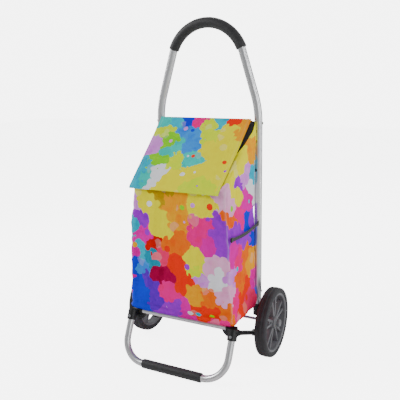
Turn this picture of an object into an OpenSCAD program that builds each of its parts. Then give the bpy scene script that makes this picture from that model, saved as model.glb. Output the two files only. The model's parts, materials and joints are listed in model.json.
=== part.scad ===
// Two-wheeled folding shopping trolley: a tube frame bent over into the handle,
// a fabric bag with a flap, two spoked wheels and a folding front platform with a foot.
// Millimetres. +Z is up, -Y is the front, +X is the right-hand side seen from the front.
// The origin lies on the floor, under the centre of the whole object.

/* [Overall] */
// Height of the top of the handle grip above the floor
total_h = 948; // [800:1:1100]
// Outer diameter of the tyres
wheel_d = 200; // [150:1:220]
// Distance between the middles of the two tyres
track = 410; // [400:1:500]

/* [Frame] */
// Distance between the centre lines of the frame's two upright legs
leg_span = 306; // [290:1:350]
// Outer diameter of the frame tube
tube_d = 22; // [16:0.5:22]
// Wall of the frame tube
tube_wall = 1.4; // [0.8:0.1:2]
// Distance of the upright legs behind the wheel axle
leg_behind = 21; // [20:1:40]
// Centre-line radius of the handle arch
arch_r = 112; // [80:1:120]
// Lean of the frame tube below the arch, from upright
arch_lean = 17; // [10:1:22]
// Centre-line radius of the bend where the upright legs start to lean
bend_r = 250; // [150:1:300]
// Outer diameter of the bars between the legs
cross_bar_d = 10; // [8:1:14]

/* [Handle grip] */
// Outer diameter of the foam grip
grip_d = 29; // [26:0.5:34]
// Half of the angle that the grip covers along the arch
grip_half_angle = 68; // [50:1:70]

/* [Wheels] */
// Width of a tyre
tyre_w = 34; // [28:1:40]
// Thickness of a tyre's tread
tyre_t = 15; // [10:1:18]
// Radial depth of the rim ring
rim_ring_t = 7; // [5:1:10]
// Diameter of the wheel hub
hub_d = 36; // [30:1:44]
// Number of double spokes
spoke_pairs = 5; // [3:1:7]
// Diameter of the wheel axle
axle_d = 8; // [6:0.5:10]

/* [Platform] */
// Distance between the centre lines of the side rails
rail_span = 318; // [310:1:324]
// Outer diameter of the side rails
rail_d = 13; // [10:0.5:14]
// Slope of the side rails, down towards the back
rail_slope = 24; // [15:1:30]
// Length of a side rail from its pivot to the foot leg
rail_len = 168; // [140:1:180]
// Distance of the platform pivot in front of the axle
pivot_ahead = 15; // [13:1:20]
// Height of the platform pivot above the floor
pivot_h = 63; // [55:1:70]
// Outer diameter of the foot tube
foot_d = 19; // [14:0.5:20]
// Wall of the foot tube
foot_wall = 1.4; // [0.8:0.1:2]
// Distance between the centre lines of the foot's two legs
foot_span = 315; // [300:1:320]
// Centre-line radius of the foot's bends
foot_bend_r = 64; // [40:1:80]
// Lean of the foot, forwards and down, from upright
foot_lean = 26; // [15:1:32]
// Outer diameter of the foam sleeve on the foot
sleeve_d = 26; // [23:0.5:30]
// Length of the foam sleeve on the foot
sleeve_len = 183; // [120:1:184]
// Outer diameter of the platform's front cross tube
front_tube_d = 16; // [12:0.5:18]

/* [Bag] */
// Width of the bag
bag_w = 312; // [260:1:316]
// Depth of the bag, front to back
bag_d = 181; // [150:1:190]
// Height of the bag at its back
bag_back_h = 524; // [450:1:540]
// Slope of the bag's top, down towards the front
bag_slope = 43; // [35:1:46]
// Thickness of the lined fabric
fabric_t = 3; // [2:0.5:4]
// Radius of the bag's upright corners
bag_corner_r = 16; // [8:1:24]
// Thickness of the flap
flap_t = 5; // [3:0.5:6]
// Width of the flap at its hinge
flap_back_w = 280; // [240:1:284]
// Width of the flap at its front edge
flap_front_w = 266; // [240:1:280]
// Length of the flap along its slope
flap_len = 260; // [220:1:262]
// Depth of the flap's turned-down front edge
flap_lip = 12; // [6:1:14]
// Thickness of the base board
board_t = 4; // [3:0.5:6]
// Height of the side strap's ends above the bag's bottom
strap_h = 250; // [150:1:300]
// Width of the elastic side strap
strap_w = 8; // [6:1:12]

/* [Hidden] */
$fn = 48;

silver = "#c9cccf";
steel = "#9da1a6";
black = "#26262a";
dark_grey = "#46474b";
rim_grey = "#77797f";
bag_pink = "#e8385f";
bag_blue = "#2f7fd8";
lining_black = "#1d1d22";

eps = 0.02;              // overlap that makes cuts run clean through
soft_gap = 0.3;          // gap between touching pieces that move or are soft
run_gap = 0.05;          // radial gap of a pin or shaft in its hole
seat_gap = 0.05;         // radial gap of a tube in its socket

wheel_r = wheel_d / 2;
leg_x = leg_span / 2;
tube_r = tube_d / 2;
rail_x = rail_span / 2;
foot_x = foot_span / 2;
axle_r = axle_d / 2;

// Places along Y, measured from the axle first and then moved so that Y is centred
foot_drop = pivot_h + rail_len * sin(rail_slope) - sleeve_d / 2;
foot_leg_len = foot_drop / cos(foot_lean);
corner_from_axle = -pivot_ahead - rail_len * cos(rail_slope);
bar_from_axle = corner_from_axle - foot_leg_len * sin(foot_lean);
axle_y = -(bar_from_axle - sleeve_d / 2 + wheel_r) / 2;
leg_y = axle_y + leg_behind;
pivot_y = axle_y - pivot_ahead;
corner_y = axle_y + corner_from_axle;
corner_z = pivot_h + rail_len * sin(rail_slope);
bar_y = axle_y + bar_from_axle;
bar_z = sleeve_d / 2;

// Handle arch
arch_z = total_h - grip_d / 2 - arch_r;
tangent_x = arch_r * cos(arch_lean);
tangent_z = arch_z + arch_r * sin(arch_lean);
knee_z = tangent_z - (leg_x - tangent_x) / tan(arch_lean);
bend_reach = bend_r * tan(arch_lean / 2);
bend_z = knee_z - bend_reach;
lean_len = (leg_x - tangent_x) / sin(arch_lean) - bend_reach;

// Rear brackets
socket_r = tube_r + 2;
socket_top = corner_z + 9;
leg_bottom = wheel_r + 10;
plate_in = max(leg_x + tube_r + 2, rail_x + rail_d / 2 + 0.5);
plate_out = plate_in + 14;
lug_r = 15;
hub_len = tyre_w;
wheel_x = track / 2;
hub_in = wheel_x - hub_len / 2;
hub_out = wheel_x + hub_len / 2;
bush_r = axle_r + 4;
cap_r = 11;
cap_len = 9;

// Front platform
front_tube_back = 17;                       // behind the corner of rail and foot leg
bag_bottom = corner_z + 11;
front_tube_z = bag_bottom - soft_gap - front_tube_d / 2;
front_tube_y = corner_y + front_tube_back;
rail_eye_r = 10;
rail_eye_w = 13;
eye_in = min(plate_in - rail_eye_w - 0.6, rail_x - rail_d / 2 - 0.1);
rail_end = 12;                              // rail stops this far behind the foot leg
bracket_r = foot_d / 2 + 3.5;
bracket_up = 8;                             // front bracket's reach above the corner
bracket_down = 21;                          // and below it
gusset_r = 29;
gusset_t = 9;
screw_r = 2.5;

// Bars between the legs
hanger_below = 2;                           // hanger bar's depth below the bag's top
lower_bar_up = 40;                          // lower bar's height above the leg sockets

// Bag
bag_back_y = leg_y - tube_r - 2.5;
bag_front_y = bag_back_y - bag_d;
bag_top = bag_bottom + bag_back_h;
collar_up = 2;                              // collar's rise above the bag's mouth
flap_rise = 8.8;                            // hinge line's height above the bag's top
hinge_y = bag_back_y - 4;
hinge_z = bag_top + flap_rise;
strap_t = 2.2;
clip_r = 4.2;
clip_in = 20;                               // clip's reach inwards from the leg's centre line
clip_zs = [bag_top - 24, bag_top - 50, bag_top - 130];
hinge_r = 2.5;                              // sewn round edge along the flap's hinge
sleeve_r = cross_bar_d / 2 + soft_gap + strap_t;
sleeve_w = leg_span - tube_d - 16;
hanger_z = bag_top - hanger_below;
lower_bar_z = socket_top + lower_bar_up;

// Ring segment of a bent tube around the origin, in the XZ plane, from start to start + sweep
module tube_bend(bend, r, start, sweep) {
    rotate([90, 0, 0]) rotate([0, 0, start])
        rotate_extrude(angle = sweep, $fn = 96) translate([bend, 0]) circle(r);
}

// Straight round bar from one point to another in the XZ plane
module bar_xz(from, to, r) {
    run = [to[0] - from[0], to[1] - from[1]];
    translate([from[0], 0, from[1]])
        rotate([0, atan2(run[0], run[1]), 0]) cylinder(h = norm(run), r = r);
}

// Round bar along X, centred on x = 0
module bar_x(length, r) {
    rotate([0, 90, 0]) cylinder(h = length, r = r, center = true);
}

// Round bar along X between two X values
module bar_x_between(x0, x1, r) {
    translate([x0, 0, 0]) rotate([0, 90, 0]) cylinder(h = x1 - x0, r = r);
}

// The same piece on the left, by reflection
module left_side() {
    mirror([1, 0, 0]) children();
}

// Rectangle with round corners
module round_rect(width, depth, r) {
    square([width - 2 * r, depth], center = true);
    square([width, depth - 2 * r], center = true);
    for (sx = [-1, 1]) for (sy = [-1, 1])
        translate([sx * (width / 2 - r), sy * (depth / 2 - r)]) circle(r);
}

// Half of the hairpin: upright leg, bend, leaning stretch and half of the arch, in a chain
module hairpin_half(r, bottom) {
    translate([leg_x, 0, bottom]) cylinder(h = bend_z - bottom, r = r);
    translate([leg_x - bend_r, 0, bend_z]) {
        tube_bend(bend_r, r, 0, arch_lean);
        rotate([0, -arch_lean, 0]) translate([bend_r, 0, 0]) {
            cylinder(h = lean_len, r = r);
            translate([-arch_r, 0, lean_len]) tube_bend(arch_r, r, 0, 90 - arch_lean);
        }
    }
}

module hairpin(r, bottom) {
    hairpin_half(r, bottom);
    left_side() hairpin_half(r, bottom);
}

module frame_tube() {
    color(silver) translate([0, leg_y, 0]) difference() {
        hairpin(tube_r, leg_bottom);
        hairpin(tube_r - tube_wall, leg_bottom);
    }
}

module handle_grip() {
    color(dark_grey) translate([0, leg_y, arch_z]) difference() {
        tube_bend(arch_r, grip_d / 2, 90 - grip_half_angle, 2 * grip_half_angle);
        tube_bend(arch_r, tube_r + seat_gap, 88 - grip_half_angle, 2 * grip_half_angle + 4);
    }
}

module leg_bar(z) {
    translate([0, leg_y, z]) difference() {
        bar_x(leg_span - 2 * tube_r + 3, cross_bar_d / 2);
        for (side = [-1, 1]) translate([side * leg_x, 0, -cross_bar_d])
            cylinder(h = 2 * cross_bar_d, r = tube_r + seat_gap);
        if (z + cross_bar_d / 2 > bend_z + 3)
            translate([0, 0, -z]) hairpin(tube_r + seat_gap, leg_bottom);
    }
}

module hanger_bar() {
    color(steel) leg_bar(hanger_z);
}

module lower_cross_bar() {
    color(steel) leg_bar(lower_bar_z);
}

// Domed rivet heads outside the legs, one at each end of each bar
module leg_rivets() {
    color(steel) for (side = [-1, 1]) for (z = [hanger_z, lower_bar_z])
        translate([side * (leg_x + tube_r), leg_y, z]) rotate([0, side * 90, 0]) {
            cylinder(h = 1.6, r = 3.6);
            translate([0, 0, 1.6]) cylinder(h = 0.8, r = 2.4);
        }
}

// Moulded bracket: holds the leg's end, the axle and the platform pivot
module rear_bracket() {
    difference() {
        union() {
            translate([leg_x, leg_y, leg_bottom - 4])
                cylinder(h = socket_top - leg_bottom + 4, r = socket_r);
            translate([plate_in, axle_y - 14, leg_bottom - 4])
                cube([plate_out - plate_in, leg_behind + 14 + socket_r, socket_top - leg_bottom + 4]);
            translate([leg_x, leg_y, leg_bottom - 4])
                translate([0, -socket_r + 3, 0])
                cube([plate_in - leg_x + eps, 2 * socket_r - 3, socket_top - leg_bottom + 4]);
            translate([0, axle_y, wheel_r]) bar_x_between(plate_in, plate_out, 18);
            translate([0, pivot_y, pivot_h]) bar_x_between(plate_in, plate_out, lug_r);
            translate([plate_in, 0, 0]) rotate([90, 0, 90])
                linear_extrude(plate_out - plate_in) polygon([
                    [pivot_y - lug_r, pivot_h], [pivot_y + lug_r, pivot_h],
                    [axle_y + 18, wheel_r], [axle_y + 18, leg_bottom],
                    [axle_y - 14, leg_bottom], [axle_y - 18, wheel_r]]);
        }
        translate([leg_x, leg_y, leg_bottom]) cylinder(h = 100, r = tube_r + seat_gap);
        translate([0, axle_y, wheel_r]) bar_x_between(plate_in - 40, plate_out + 1, axle_r + seat_gap);
        translate([0, pivot_y, pivot_h])
            bar_x_between(plate_in - 1, plate_out + 1, axle_r + seat_gap);
    }
}

module rear_bracket_right() {
    color(black) rear_bracket();
}

module rear_bracket_left() {
    color(black) left_side() rear_bracket();
}

module axle_rod() {
    color(steel) translate([0, axle_y, wheel_r]) bar_x(2 * (hub_out + cap_len - 3), axle_r);
}

// Spacer on the axle between bracket and hub
module axle_spacer() {
    translate([0, axle_y, wheel_r]) difference() {
        bar_x_between(plate_out + 0.1, hub_in - soft_gap, 9);
        bar_x_between(plate_out - 1, hub_in + 1, axle_r + seat_gap);
    }
}

module axle_spacer_right() {
    color(steel) axle_spacer();
}

module axle_spacer_left() {
    color(steel) left_side() axle_spacer();
}

// Domed push-on cap on the axle's end, which keeps the wheel on
module axle_cap() {
    translate([hub_out + soft_gap, axle_y, wheel_r]) rotate([0, 90, 0]) difference() {
        rotate_extrude() difference() {
            union() {
                square([cap_r, cap_len - 4]);
                square([cap_r - 4, cap_len]);
                translate([cap_r - 4, cap_len - 4]) circle(4);
            }
            translate([-cap_r, 0]) square([cap_r, cap_len + 2]);
        }
        translate([0, 0, -1]) cylinder(h = cap_len - 2 - soft_gap, r = axle_r + seat_gap);
    }
}

module axle_cap_right() {
    color(rim_grey) axle_cap();
}

module axle_cap_left() {
    color(rim_grey) left_side() axle_cap();
}

// Headed pin that carries one side rail's eye on the rear bracket
module pivot_pin() {
    translate([0, pivot_y, pivot_h]) {
        bar_x_between(eye_in - 0.4, plate_out + 1.5, axle_r);
        bar_x_between(eye_in - 2.9, eye_in - 0.4, axle_r + 3);
        bar_x_between(plate_out + 0.2, plate_out + 2, axle_r + 2);
    }
}

module pivot_pin_right() {
    color(steel) pivot_pin();
}

module pivot_pin_left() {
    color(steel) left_side() pivot_pin();
}

// --- Bag ---

// Solid block of the bag's outline, shrunk by inset, with its sloping top raised by lift
module bag_block(inset, bottom, lift) {
    difference() {
        translate([0, (bag_front_y + bag_back_y) / 2, bottom])
            linear_extrude(bag_top + lift - bottom)
                round_rect(bag_w - 2 * inset, bag_d - 2 * inset, bag_corner_r - inset / 2);
        translate([-bag_w, bag_back_y - 8, bag_top + lift]) rotate([bag_slope, 0, 0])
            translate([0, -2 * bag_d, 0]) cube([2 * bag_w, 2 * bag_d, 2 * bag_d]);
    }
}

module bag_body() {
    color(bag_pink) difference() {
        bag_block(0, bag_bottom, 0);
        bag_block(fabric_t, bag_bottom + fabric_t, bag_d);
    }
}

// Black fabric collar that stands up inside the bag's sloping mouth
module bag_collar() {
    color(lining_black) difference() {
        bag_block(fabric_t + 0.1, bag_bottom + bag_back_h / 2, collar_up);
        bag_block(fabric_t + 2.5, bag_bottom, bag_d);
        translate([-bag_w, bag_back_y - 8, bag_top - 30]) rotate([bag_slope, 0, 0])
            translate([0, -2 * bag_d, -2 * bag_d]) cube([2 * bag_w, 2 * bag_d + 40, 2 * bag_d]);
    }
}

module bag_base_board() {
    color(lining_black) translate([0, (bag_front_y + bag_back_y) / 2, bag_bottom + fabric_t])
        linear_extrude(board_t)
            round_rect(bag_w - 2 * fabric_t - 6, bag_d - 2 * fabric_t - 6, bag_corner_r - 5);
}

// Fabric tunnel at the bag's top back edge, which hangs the bag on the hanger bar
module bag_hanging_sleeve() {
    color(bag_pink) difference() {
        union() {
            translate([0, leg_y, hanger_z]) bar_x(sleeve_w, sleeve_r);
            translate([-sleeve_w / 2, bag_back_y, hanger_z - sleeve_r])
                cube([sleeve_w, leg_y - bag_back_y, sleeve_r + 1]);
        }
        translate([0, leg_y, hanger_z]) bar_x(sleeve_w + 2, cross_bar_d / 2 + soft_gap);
    }
}

// Black moulded clips that hold the bag's back edges to the inner sides of the legs
module bag_clips() {
    color(lining_black) for (turn = [0, 1]) mirror([turn, 0, 0]) for (z = clip_zs)
        difference() {
            translate([0, bag_back_y + soft_gap + clip_r, z])
                bar_x_between(leg_x - clip_in, leg_x, clip_r);
            translate([leg_x, leg_y, z - 2 * clip_r])
                cylinder(h = 4 * clip_r, r = tube_r + seat_gap);
        }
}

// Elastic strap along the right side, from the front seam to the frame's leg
strap_z = bag_bottom + strap_h;
module bag_side_strap() {
    color(lining_black) {
        translate([bag_w / 2, bag_front_y + bag_corner_r, strap_z - strap_w / 2])
            cube([strap_t, bag_d - 2 * bag_corner_r, strap_w]);
        for (y = [bag_front_y + bag_corner_r, bag_back_y - bag_corner_r - 10])
            translate([bag_w / 2, y, strap_z - strap_w]) cube([strap_t + 0.8, 10, 2 * strap_w]);
    }
}

// --- Flap ---

// Puts children, drawn flat with the hinge at their back edge, on the bag's slope
module on_flap() {
    translate([0, hinge_y, hinge_z]) rotate([bag_slope, 0, 0]) children();
}

module flap_outline(inset) {
    r = 14;
    hull_back = flap_back_w / 2 - inset;
    hull_front = flap_front_w / 2 - inset;
    difference() {
        polygon([[-hull_back, -inset], [hull_back, -inset],
                 [hull_front, -flap_len + inset], [-hull_front, -flap_len + inset]]);
        for (side = [-1, 1]) translate([side * hull_front, -flap_len + inset])
            difference() {
                square(2 * r, center = true);
                translate([-side * r, r]) circle(r);
                translate([-side * 3 * r, 0]) square([4 * r, 8 * r], center = true);
                translate([0, 3 * r]) square([8 * r, 4 * r], center = true);
            }
    }
}

module bag_flap() {
    color(bag_blue) on_flap() {
        linear_extrude(flap_t) flap_outline(0);
        bar_x(flap_back_w, hinge_r);
        translate([-flap_front_w / 2 + 14, -flap_len, -flap_lip])
            cube([flap_front_w - 28, fabric_t, flap_lip + eps]);
    }
}

module flap_lining() {
    color(lining_black) on_flap() translate([0, 0, -1.5]) linear_extrude(1.5) flap_outline(6);
}

// --- Platform ---

module on_rail() {
    translate([0, pivot_y, pivot_h]) rotate([-rail_slope, 0, 0]) children();
}

module side_rail() {
    color(black) difference() {
        union() {
            translate([rail_x, 0, 0]) on_rail() rotate([90, 0, 0])
                translate([0, 0, 4]) cylinder(h = rail_len - rail_end - 4, r = rail_d / 2);
            translate([0, pivot_y, pivot_h])
                bar_x_between(eye_in, plate_in - 0.6, rail_eye_r);
        }
        translate([0, pivot_y, pivot_h])
            bar_x_between(eye_in - 1.4, plate_in, axle_r + run_gap);
    }
}

module side_rail_right() {
    side_rail();
}

module side_rail_left() {
    left_side() side_rail();
}

// Places children with their Z along the foot leg, upwards, at the rail's corner
module on_foot_leg() {
    translate([0, corner_y, corner_z]) rotate([-foot_lean, 0, 0]) children();
}

// Moulded corner that joins rail, foot leg and front cross tube, with a quarter-round gusset
module front_bracket() {
    color(black) difference() {
        union() {
            translate([foot_x, 0, 0]) on_foot_leg()
                translate([0, 0, -bracket_down])
                    cylinder(h = bracket_down + bracket_up, r = bracket_r);
            translate([rail_x, 0, 0]) on_rail() rotate([90, 0, 0])
                translate([0, 0, rail_len - 34]) cylinder(h = 34, r = rail_d / 2 + 2.5);
            translate([0, front_tube_y, front_tube_z])
                bar_x_between(foot_x - 26, foot_x + 4, front_tube_d / 2 - eps);
            translate([foot_x - bracket_r + 3, front_tube_y + gusset_t / 2, front_tube_z + 2])
                rotate([90, 0, 0]) linear_extrude(gusset_t) intersection() {
                    circle(gusset_r);
                    translate([-gusset_r, -gusset_r]) square(gusset_r);
                }
            translate([foot_x - bracket_r, corner_y - 4, front_tube_z - 12])
                cube([2 * bracket_r, front_tube_back, 14]);
        }
        translate([foot_x, 0, 0]) on_foot_leg()
            translate([0, 0, -bracket_down - 30]) cylinder(h = bracket_down + 34, r = foot_d / 2 + seat_gap);
        translate([rail_x, 0, 0]) on_rail() rotate([90, 0, 0])
            translate([0, 0, rail_len - 60]) cylinder(h = 60 - rail_end + 0.2, r = rail_d / 2 + seat_gap);
        translate([0, front_tube_y, front_tube_z])
            bar_x_between(0, foot_x - 8, front_tube_d / 2 - 2 + seat_gap);
        translate([0, front_tube_y, front_tube_z])
            bar_x_between(0, foot_x - 26, front_tube_d / 2 + seat_gap);
    }
}

module front_bracket_right() {
    front_bracket();
}

module front_bracket_left() {
    left_side() front_bracket();
}

module front_cross_tube() {
    color(silver) translate([0, front_tube_y, front_tube_z]) difference() {
        union() {
            bar_x(2 * (foot_x - 26), front_tube_d / 2);
            bar_x(2 * (foot_x - 8.2), front_tube_d / 2 - 2);
        }
        bar_x(2 * foot_x, front_tube_d / 2 - 3.2);
    }
}

// Half of the foot, drawn upright in the XZ plane with the bar at z = 0
module foot_half(r, extra) {
    translate([foot_x, 0, foot_bend_r])
        cylinder(h = foot_leg_len - foot_bend_r + 3 + extra, r = r);
    translate([foot_x - foot_bend_r, 0, foot_bend_r]) tube_bend(foot_bend_r, r, -90, 90);
    bar_x_between(0, foot_x - foot_bend_r, r);
}

module foot_shape(r, extra) {
    foot_half(r, extra);
    left_side() foot_half(r, extra);
}

module foot_tube() {
    color(silver) translate([0, bar_y, bar_z]) rotate([-foot_lean, 0, 0]) difference() {
        foot_shape(foot_d / 2, 0);
        foot_shape(foot_d / 2 - foot_wall, 1);
    }
}

module foot_sleeve() {
    color(dark_grey) translate([0, bar_y, bar_z]) difference() {
        bar_x(sleeve_len, sleeve_d / 2);
        bar_x(sleeve_len + 2, foot_d / 2 + seat_gap);
    }
}

// Screws through the front brackets into the foot's legs
module bracket_screws() {
    color(steel) for (side = [-1, 1]) translate([side * foot_x, 0, 0]) on_foot_leg()
        translate([0, 0, -12]) rotate([90, 0, 0]) translate([0, 0, bracket_r])
            cylinder(h = 1.8, r = screw_r + 1.5);
}

// --- Wheels ---

module on_axle(side) {
    translate([side * wheel_x, axle_y, wheel_r]) rotate([0, 90, 0]) children();
}

module tyre(side) {
    r = tyre_t / 2;
    color(dark_grey) on_axle(side) rotate_extrude($fn = 128) {
        translate([wheel_r - tyre_t, -tyre_w / 2]) square([r, tyre_w]);
        translate([wheel_r - tyre_t, -tyre_w / 2 + r]) square([tyre_t, tyre_w - 2 * r]);
        for (s = [-1, 1]) translate([wheel_r - r, s * (tyre_w / 2 - r)]) circle(r);
    }
}

module tyre_left() {
    tyre(-1);
}

module tyre_right() {
    tyre(1);
}

rim_out = wheel_r - tyre_t - seat_gap;
rim_in = rim_out - rim_ring_t;
spoke_w = 6;
spoke_depth = 16;
spoke_spread = 9;

module rim(side) {
    color(rim_grey) on_axle(side) difference() {
        union() {
            rotate_extrude($fn = 128) translate([rim_in, -tyre_w / 2 + 3])
                square([rim_ring_t, tyre_w - 6]);
            cylinder(h = hub_len, r = hub_d / 2, center = true);
            for (i = [0 : spoke_pairs - 1]) for (s = [-1, 1])
                rotate([0, 0, i * 360 / spoke_pairs + s * spoke_spread])
                    translate([hub_d / 2 - 3, s * 1 - spoke_w / 2, -spoke_depth / 2])
                        cube([rim_in - hub_d / 2 + 5, spoke_w, spoke_depth]);
        }
        cylinder(h = hub_len + 2, r = bush_r + seat_gap, center = true);
    }
}

module rim_left() {
    rim(-1);
}

module rim_right() {
    rim(1);
}

module hub_bush(side) {
    color("white") on_axle(side) difference() {
        cylinder(h = hub_len - 0.2, r = bush_r, center = true);
        cylinder(h = hub_len + 2, r = axle_r + run_gap, center = true);
    }
}

module hub_bush_left() {
    hub_bush(-1);
}

module hub_bush_right() {
    hub_bush(1);
}

frame_tube();
handle_grip();
hanger_bar();
lower_cross_bar();
leg_rivets();
rear_bracket_left();
rear_bracket_right();
axle_rod();
axle_spacer_left();
axle_spacer_right();
axle_cap_left();
axle_cap_right();
pivot_pin_left();
pivot_pin_right();
bag_body();
bag_collar();
bag_base_board();
bag_hanging_sleeve();
bag_clips();
bag_side_strap();
bag_flap();
flap_lining();
side_rail_left();
side_rail_right();
front_bracket_left();
front_bracket_right();
front_cross_tube();
foot_tube();
foot_sleeve();
bracket_screws();
tyre_left();
rim_left();
hub_bush_left();
tyre_right();
rim_right();
hub_bush_right();
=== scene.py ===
import json
import math

import bpy
import numpy as np
from mathutils import Matrix, Vector, noise


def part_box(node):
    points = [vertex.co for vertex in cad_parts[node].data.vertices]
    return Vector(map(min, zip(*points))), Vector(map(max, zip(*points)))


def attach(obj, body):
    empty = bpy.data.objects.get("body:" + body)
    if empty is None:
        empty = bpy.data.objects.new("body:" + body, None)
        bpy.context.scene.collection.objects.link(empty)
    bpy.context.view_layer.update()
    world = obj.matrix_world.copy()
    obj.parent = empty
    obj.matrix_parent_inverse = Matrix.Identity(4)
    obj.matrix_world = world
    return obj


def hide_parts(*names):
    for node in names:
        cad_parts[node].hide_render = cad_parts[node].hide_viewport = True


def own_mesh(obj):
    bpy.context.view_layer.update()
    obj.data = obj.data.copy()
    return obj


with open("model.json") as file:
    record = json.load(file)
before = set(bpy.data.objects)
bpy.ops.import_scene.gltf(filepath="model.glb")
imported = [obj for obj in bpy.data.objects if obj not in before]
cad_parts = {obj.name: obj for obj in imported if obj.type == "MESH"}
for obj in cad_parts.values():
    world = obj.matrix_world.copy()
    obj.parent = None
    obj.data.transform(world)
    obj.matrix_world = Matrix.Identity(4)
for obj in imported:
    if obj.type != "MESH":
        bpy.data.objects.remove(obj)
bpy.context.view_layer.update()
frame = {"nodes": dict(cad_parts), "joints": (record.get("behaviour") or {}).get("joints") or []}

bl_info = {
    "name": "Folding shopping trolley",
    "version": (1, 0, 0),
    "blender": (4, 5, 0),
    "location": "3D View > Sidebar > Trolley",
    "description": "Builds the looks of a folding shopping trolley around its packed frame",
    "category": "Object",
}

# ---------------------------------------------------------------- places taken from the frame

LEG_LOW, LEG_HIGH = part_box("frame_tube")
GRIP_LOW, GRIP_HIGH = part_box("handle_grip")
BAG_LOW, BAG_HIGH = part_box("bag_body")
FLAP_LOW, FLAP_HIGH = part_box("bag_flap")
SLEEVE_LOW, SLEEVE_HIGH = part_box("foot_sleeve")
BAR_LOW, BAR_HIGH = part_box("hanger_bar")
JOINTS = {joint["name"]: joint for joint in frame["joints"]}
LEG_Y = (LEG_LOW.y + LEG_HIGH.y) / 2
TUBE_R = (LEG_HIGH.y - LEG_LOW.y) / 2
GRIP_R = (GRIP_HIGH.y - GRIP_LOW.y) / 2
HINGE = Vector(JOINTS["flap_hinge"]["pos_m"])
BAG_W = BAG_HIGH.x - BAG_LOW.x
BAG_D = BAG_HIGH.y - BAG_LOW.y
BAG_MID_Y = (BAG_HIGH.y + BAG_LOW.y) / 2
SLOPE = math.radians(43)
MOUTH_BACK = 0.008


def mouth_height(y):
    """Height of the bag's sloping mouth at a place along Y."""
    return BAG_HIGH.z - max(0.0, BAG_HIGH.y - MOUTH_BACK - y) * math.tan(SLOPE)


# ---------------------------------------------------------------- settings


class TrolleySizes(bpy.types.PropertyGroup):
    """Sizes of the soft pieces and of the detail on the moulded ones."""

    bag_bulge: bpy.props.FloatProperty(
        name="Bag bulge", description="How far the bag's front swells past its flat panel",
        default=0.007, min=0.0, max=0.012, unit="LENGTH")
    cloth_thickness: bpy.props.FloatProperty(
        name="Cloth thickness", description="Thickness of the lined bag fabric",
        default=0.0018, min=0.001, max=0.004, unit="LENGTH")
    wrinkle_depth: bpy.props.FloatProperty(
        name="Wrinkle depth", description="Depth of the creases in the bag's fabric",
        default=0.0058, min=0.0, max=0.008, unit="LENGTH")
    flap_sag: bpy.props.FloatProperty(
        name="Flap sag", description="How far the flap dips between its edges",
        default=0.004, min=0.0, max=0.01, unit="LENGTH")
    foam_round: bpy.props.FloatProperty(
        name="Foam edge", description="Rounding of the foam sleeves' ends",
        default=0.0028, min=0.0005, max=0.004, unit="LENGTH")
    spoke_width: bpy.props.FloatProperty(
        name="Spoke width", description="Width of one spoke of a pair",
        default=0.0065, min=0.003, max=0.01, unit="LENGTH")
    groove_depth: bpy.props.FloatProperty(
        name="Tread groove depth", description="Depth of the grooves around the tyre's tread",
        default=0.0009, min=0.0, max=0.002, unit="LENGTH")


class TrolleyColours(bpy.types.PropertyGroup):
    """Colours of the finishes."""

    tube: bpy.props.FloatVectorProperty(
        name="Tube", description="Satin metal of the frame", subtype="COLOR", size=3,
        default=(0.80, 0.81, 0.83))
    foam: bpy.props.FloatVectorProperty(
        name="Foam", description="Grip and foot sleeve", subtype="COLOR", size=3,
        default=(0.011, 0.011, 0.013))
    moulding: bpy.props.FloatVectorProperty(
        name="Moulding", description="Black moulded brackets", subtype="COLOR", size=3,
        default=(0.007, 0.007, 0.008))
    tyre: bpy.props.FloatVectorProperty(
        name="Tyre", description="Rubber of the tyres", subtype="COLOR", size=3,
        default=(0.024, 0.024, 0.028))
    rim: bpy.props.FloatVectorProperty(
        name="Rim", description="Grey plastic of the wheels", subtype="COLOR", size=3,
        default=(0.15, 0.152, 0.165))


# ---------------------------------------------------------------- material building


class Nodes:
    """A short way to lay out a material's nodes."""

    def __init__(self, name):
        self.material = bpy.data.materials.new(name)
        self.material.use_nodes = True
        self.tree = self.material.node_tree
        self.shader = self.tree.nodes["Principled BSDF"]

    def add(self, kind, inputs=None, **values):
        """Adds one node, with its own properties in values and its sockets in inputs."""
        node = self.tree.nodes.new("ShaderNode" + kind)
        for key, value in values.items():
            setattr(node, key, value)
        for key, value in (inputs or {}).items():
            self.put(node.inputs[key], value)
        return node

    def put(self, socket, value):
        if isinstance(value, bpy.types.NodeSocket):
            self.tree.links.new(value, socket)
        else:
            socket.default_value = value

    def math(self, operation, a, b=0.0, c=0.0):
        return self.add("Math", {0: a, 1: b, 2: c}, operation=operation).outputs[0]

    def vector(self, operation, a, b):
        node = self.add("VectorMath", {0: a, 1: b}, operation=operation)
        return node.outputs["Value" if operation == "DISTANCE" else "Vector"]

    def mix(self, factor, a, b, blend="MIX"):
        node = self.add("Mix", data_type="RGBA", blend_type=blend)
        for key, value in ((0, factor), (6, a), (7, b)):
            self.put(node.inputs[key], value)
        return node.outputs[2]

    def step(self, value, low, high, start=0.0, end=1.0):
        """Goes smoothly from start to end while the value goes from low to high."""
        node = self.add("MapRange", {0: value, 1: low, 2: high, 3: start, 4: end},
                        interpolation_type="SMOOTHSTEP")
        return node.outputs[0]

    def noise(self, coords, scale, detail=3.0, roughness=0.55):
        return self.add("TexNoise", {"Vector": coords, "Scale": scale, "Detail": detail,
                                     "Roughness": roughness})

    def object_coords(self):
        return self.add("TexCoord").outputs["Object"]

    def bump(self, height, strength, distance):
        node = self.add("Bump", {"Height": height, "Strength": strength, "Distance": distance})
        self.put(self.shader.inputs["Normal"], node.outputs[0])

    def set(self, **values):
        """Sets the shader's own sockets, and returns the finished material."""
        for key, value in values.items():
            self.put(self.shader.inputs[key.replace("_", " ")], value)
        return self.material


def rgba(colour):
    return (*colour, 1.0)


def paler(colour, times, plus):
    """A colour scaled and lifted, for scuffs, dust and fading."""
    return rgba(tuple(min(1.0, times * c + plus) for c in colour))


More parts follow.
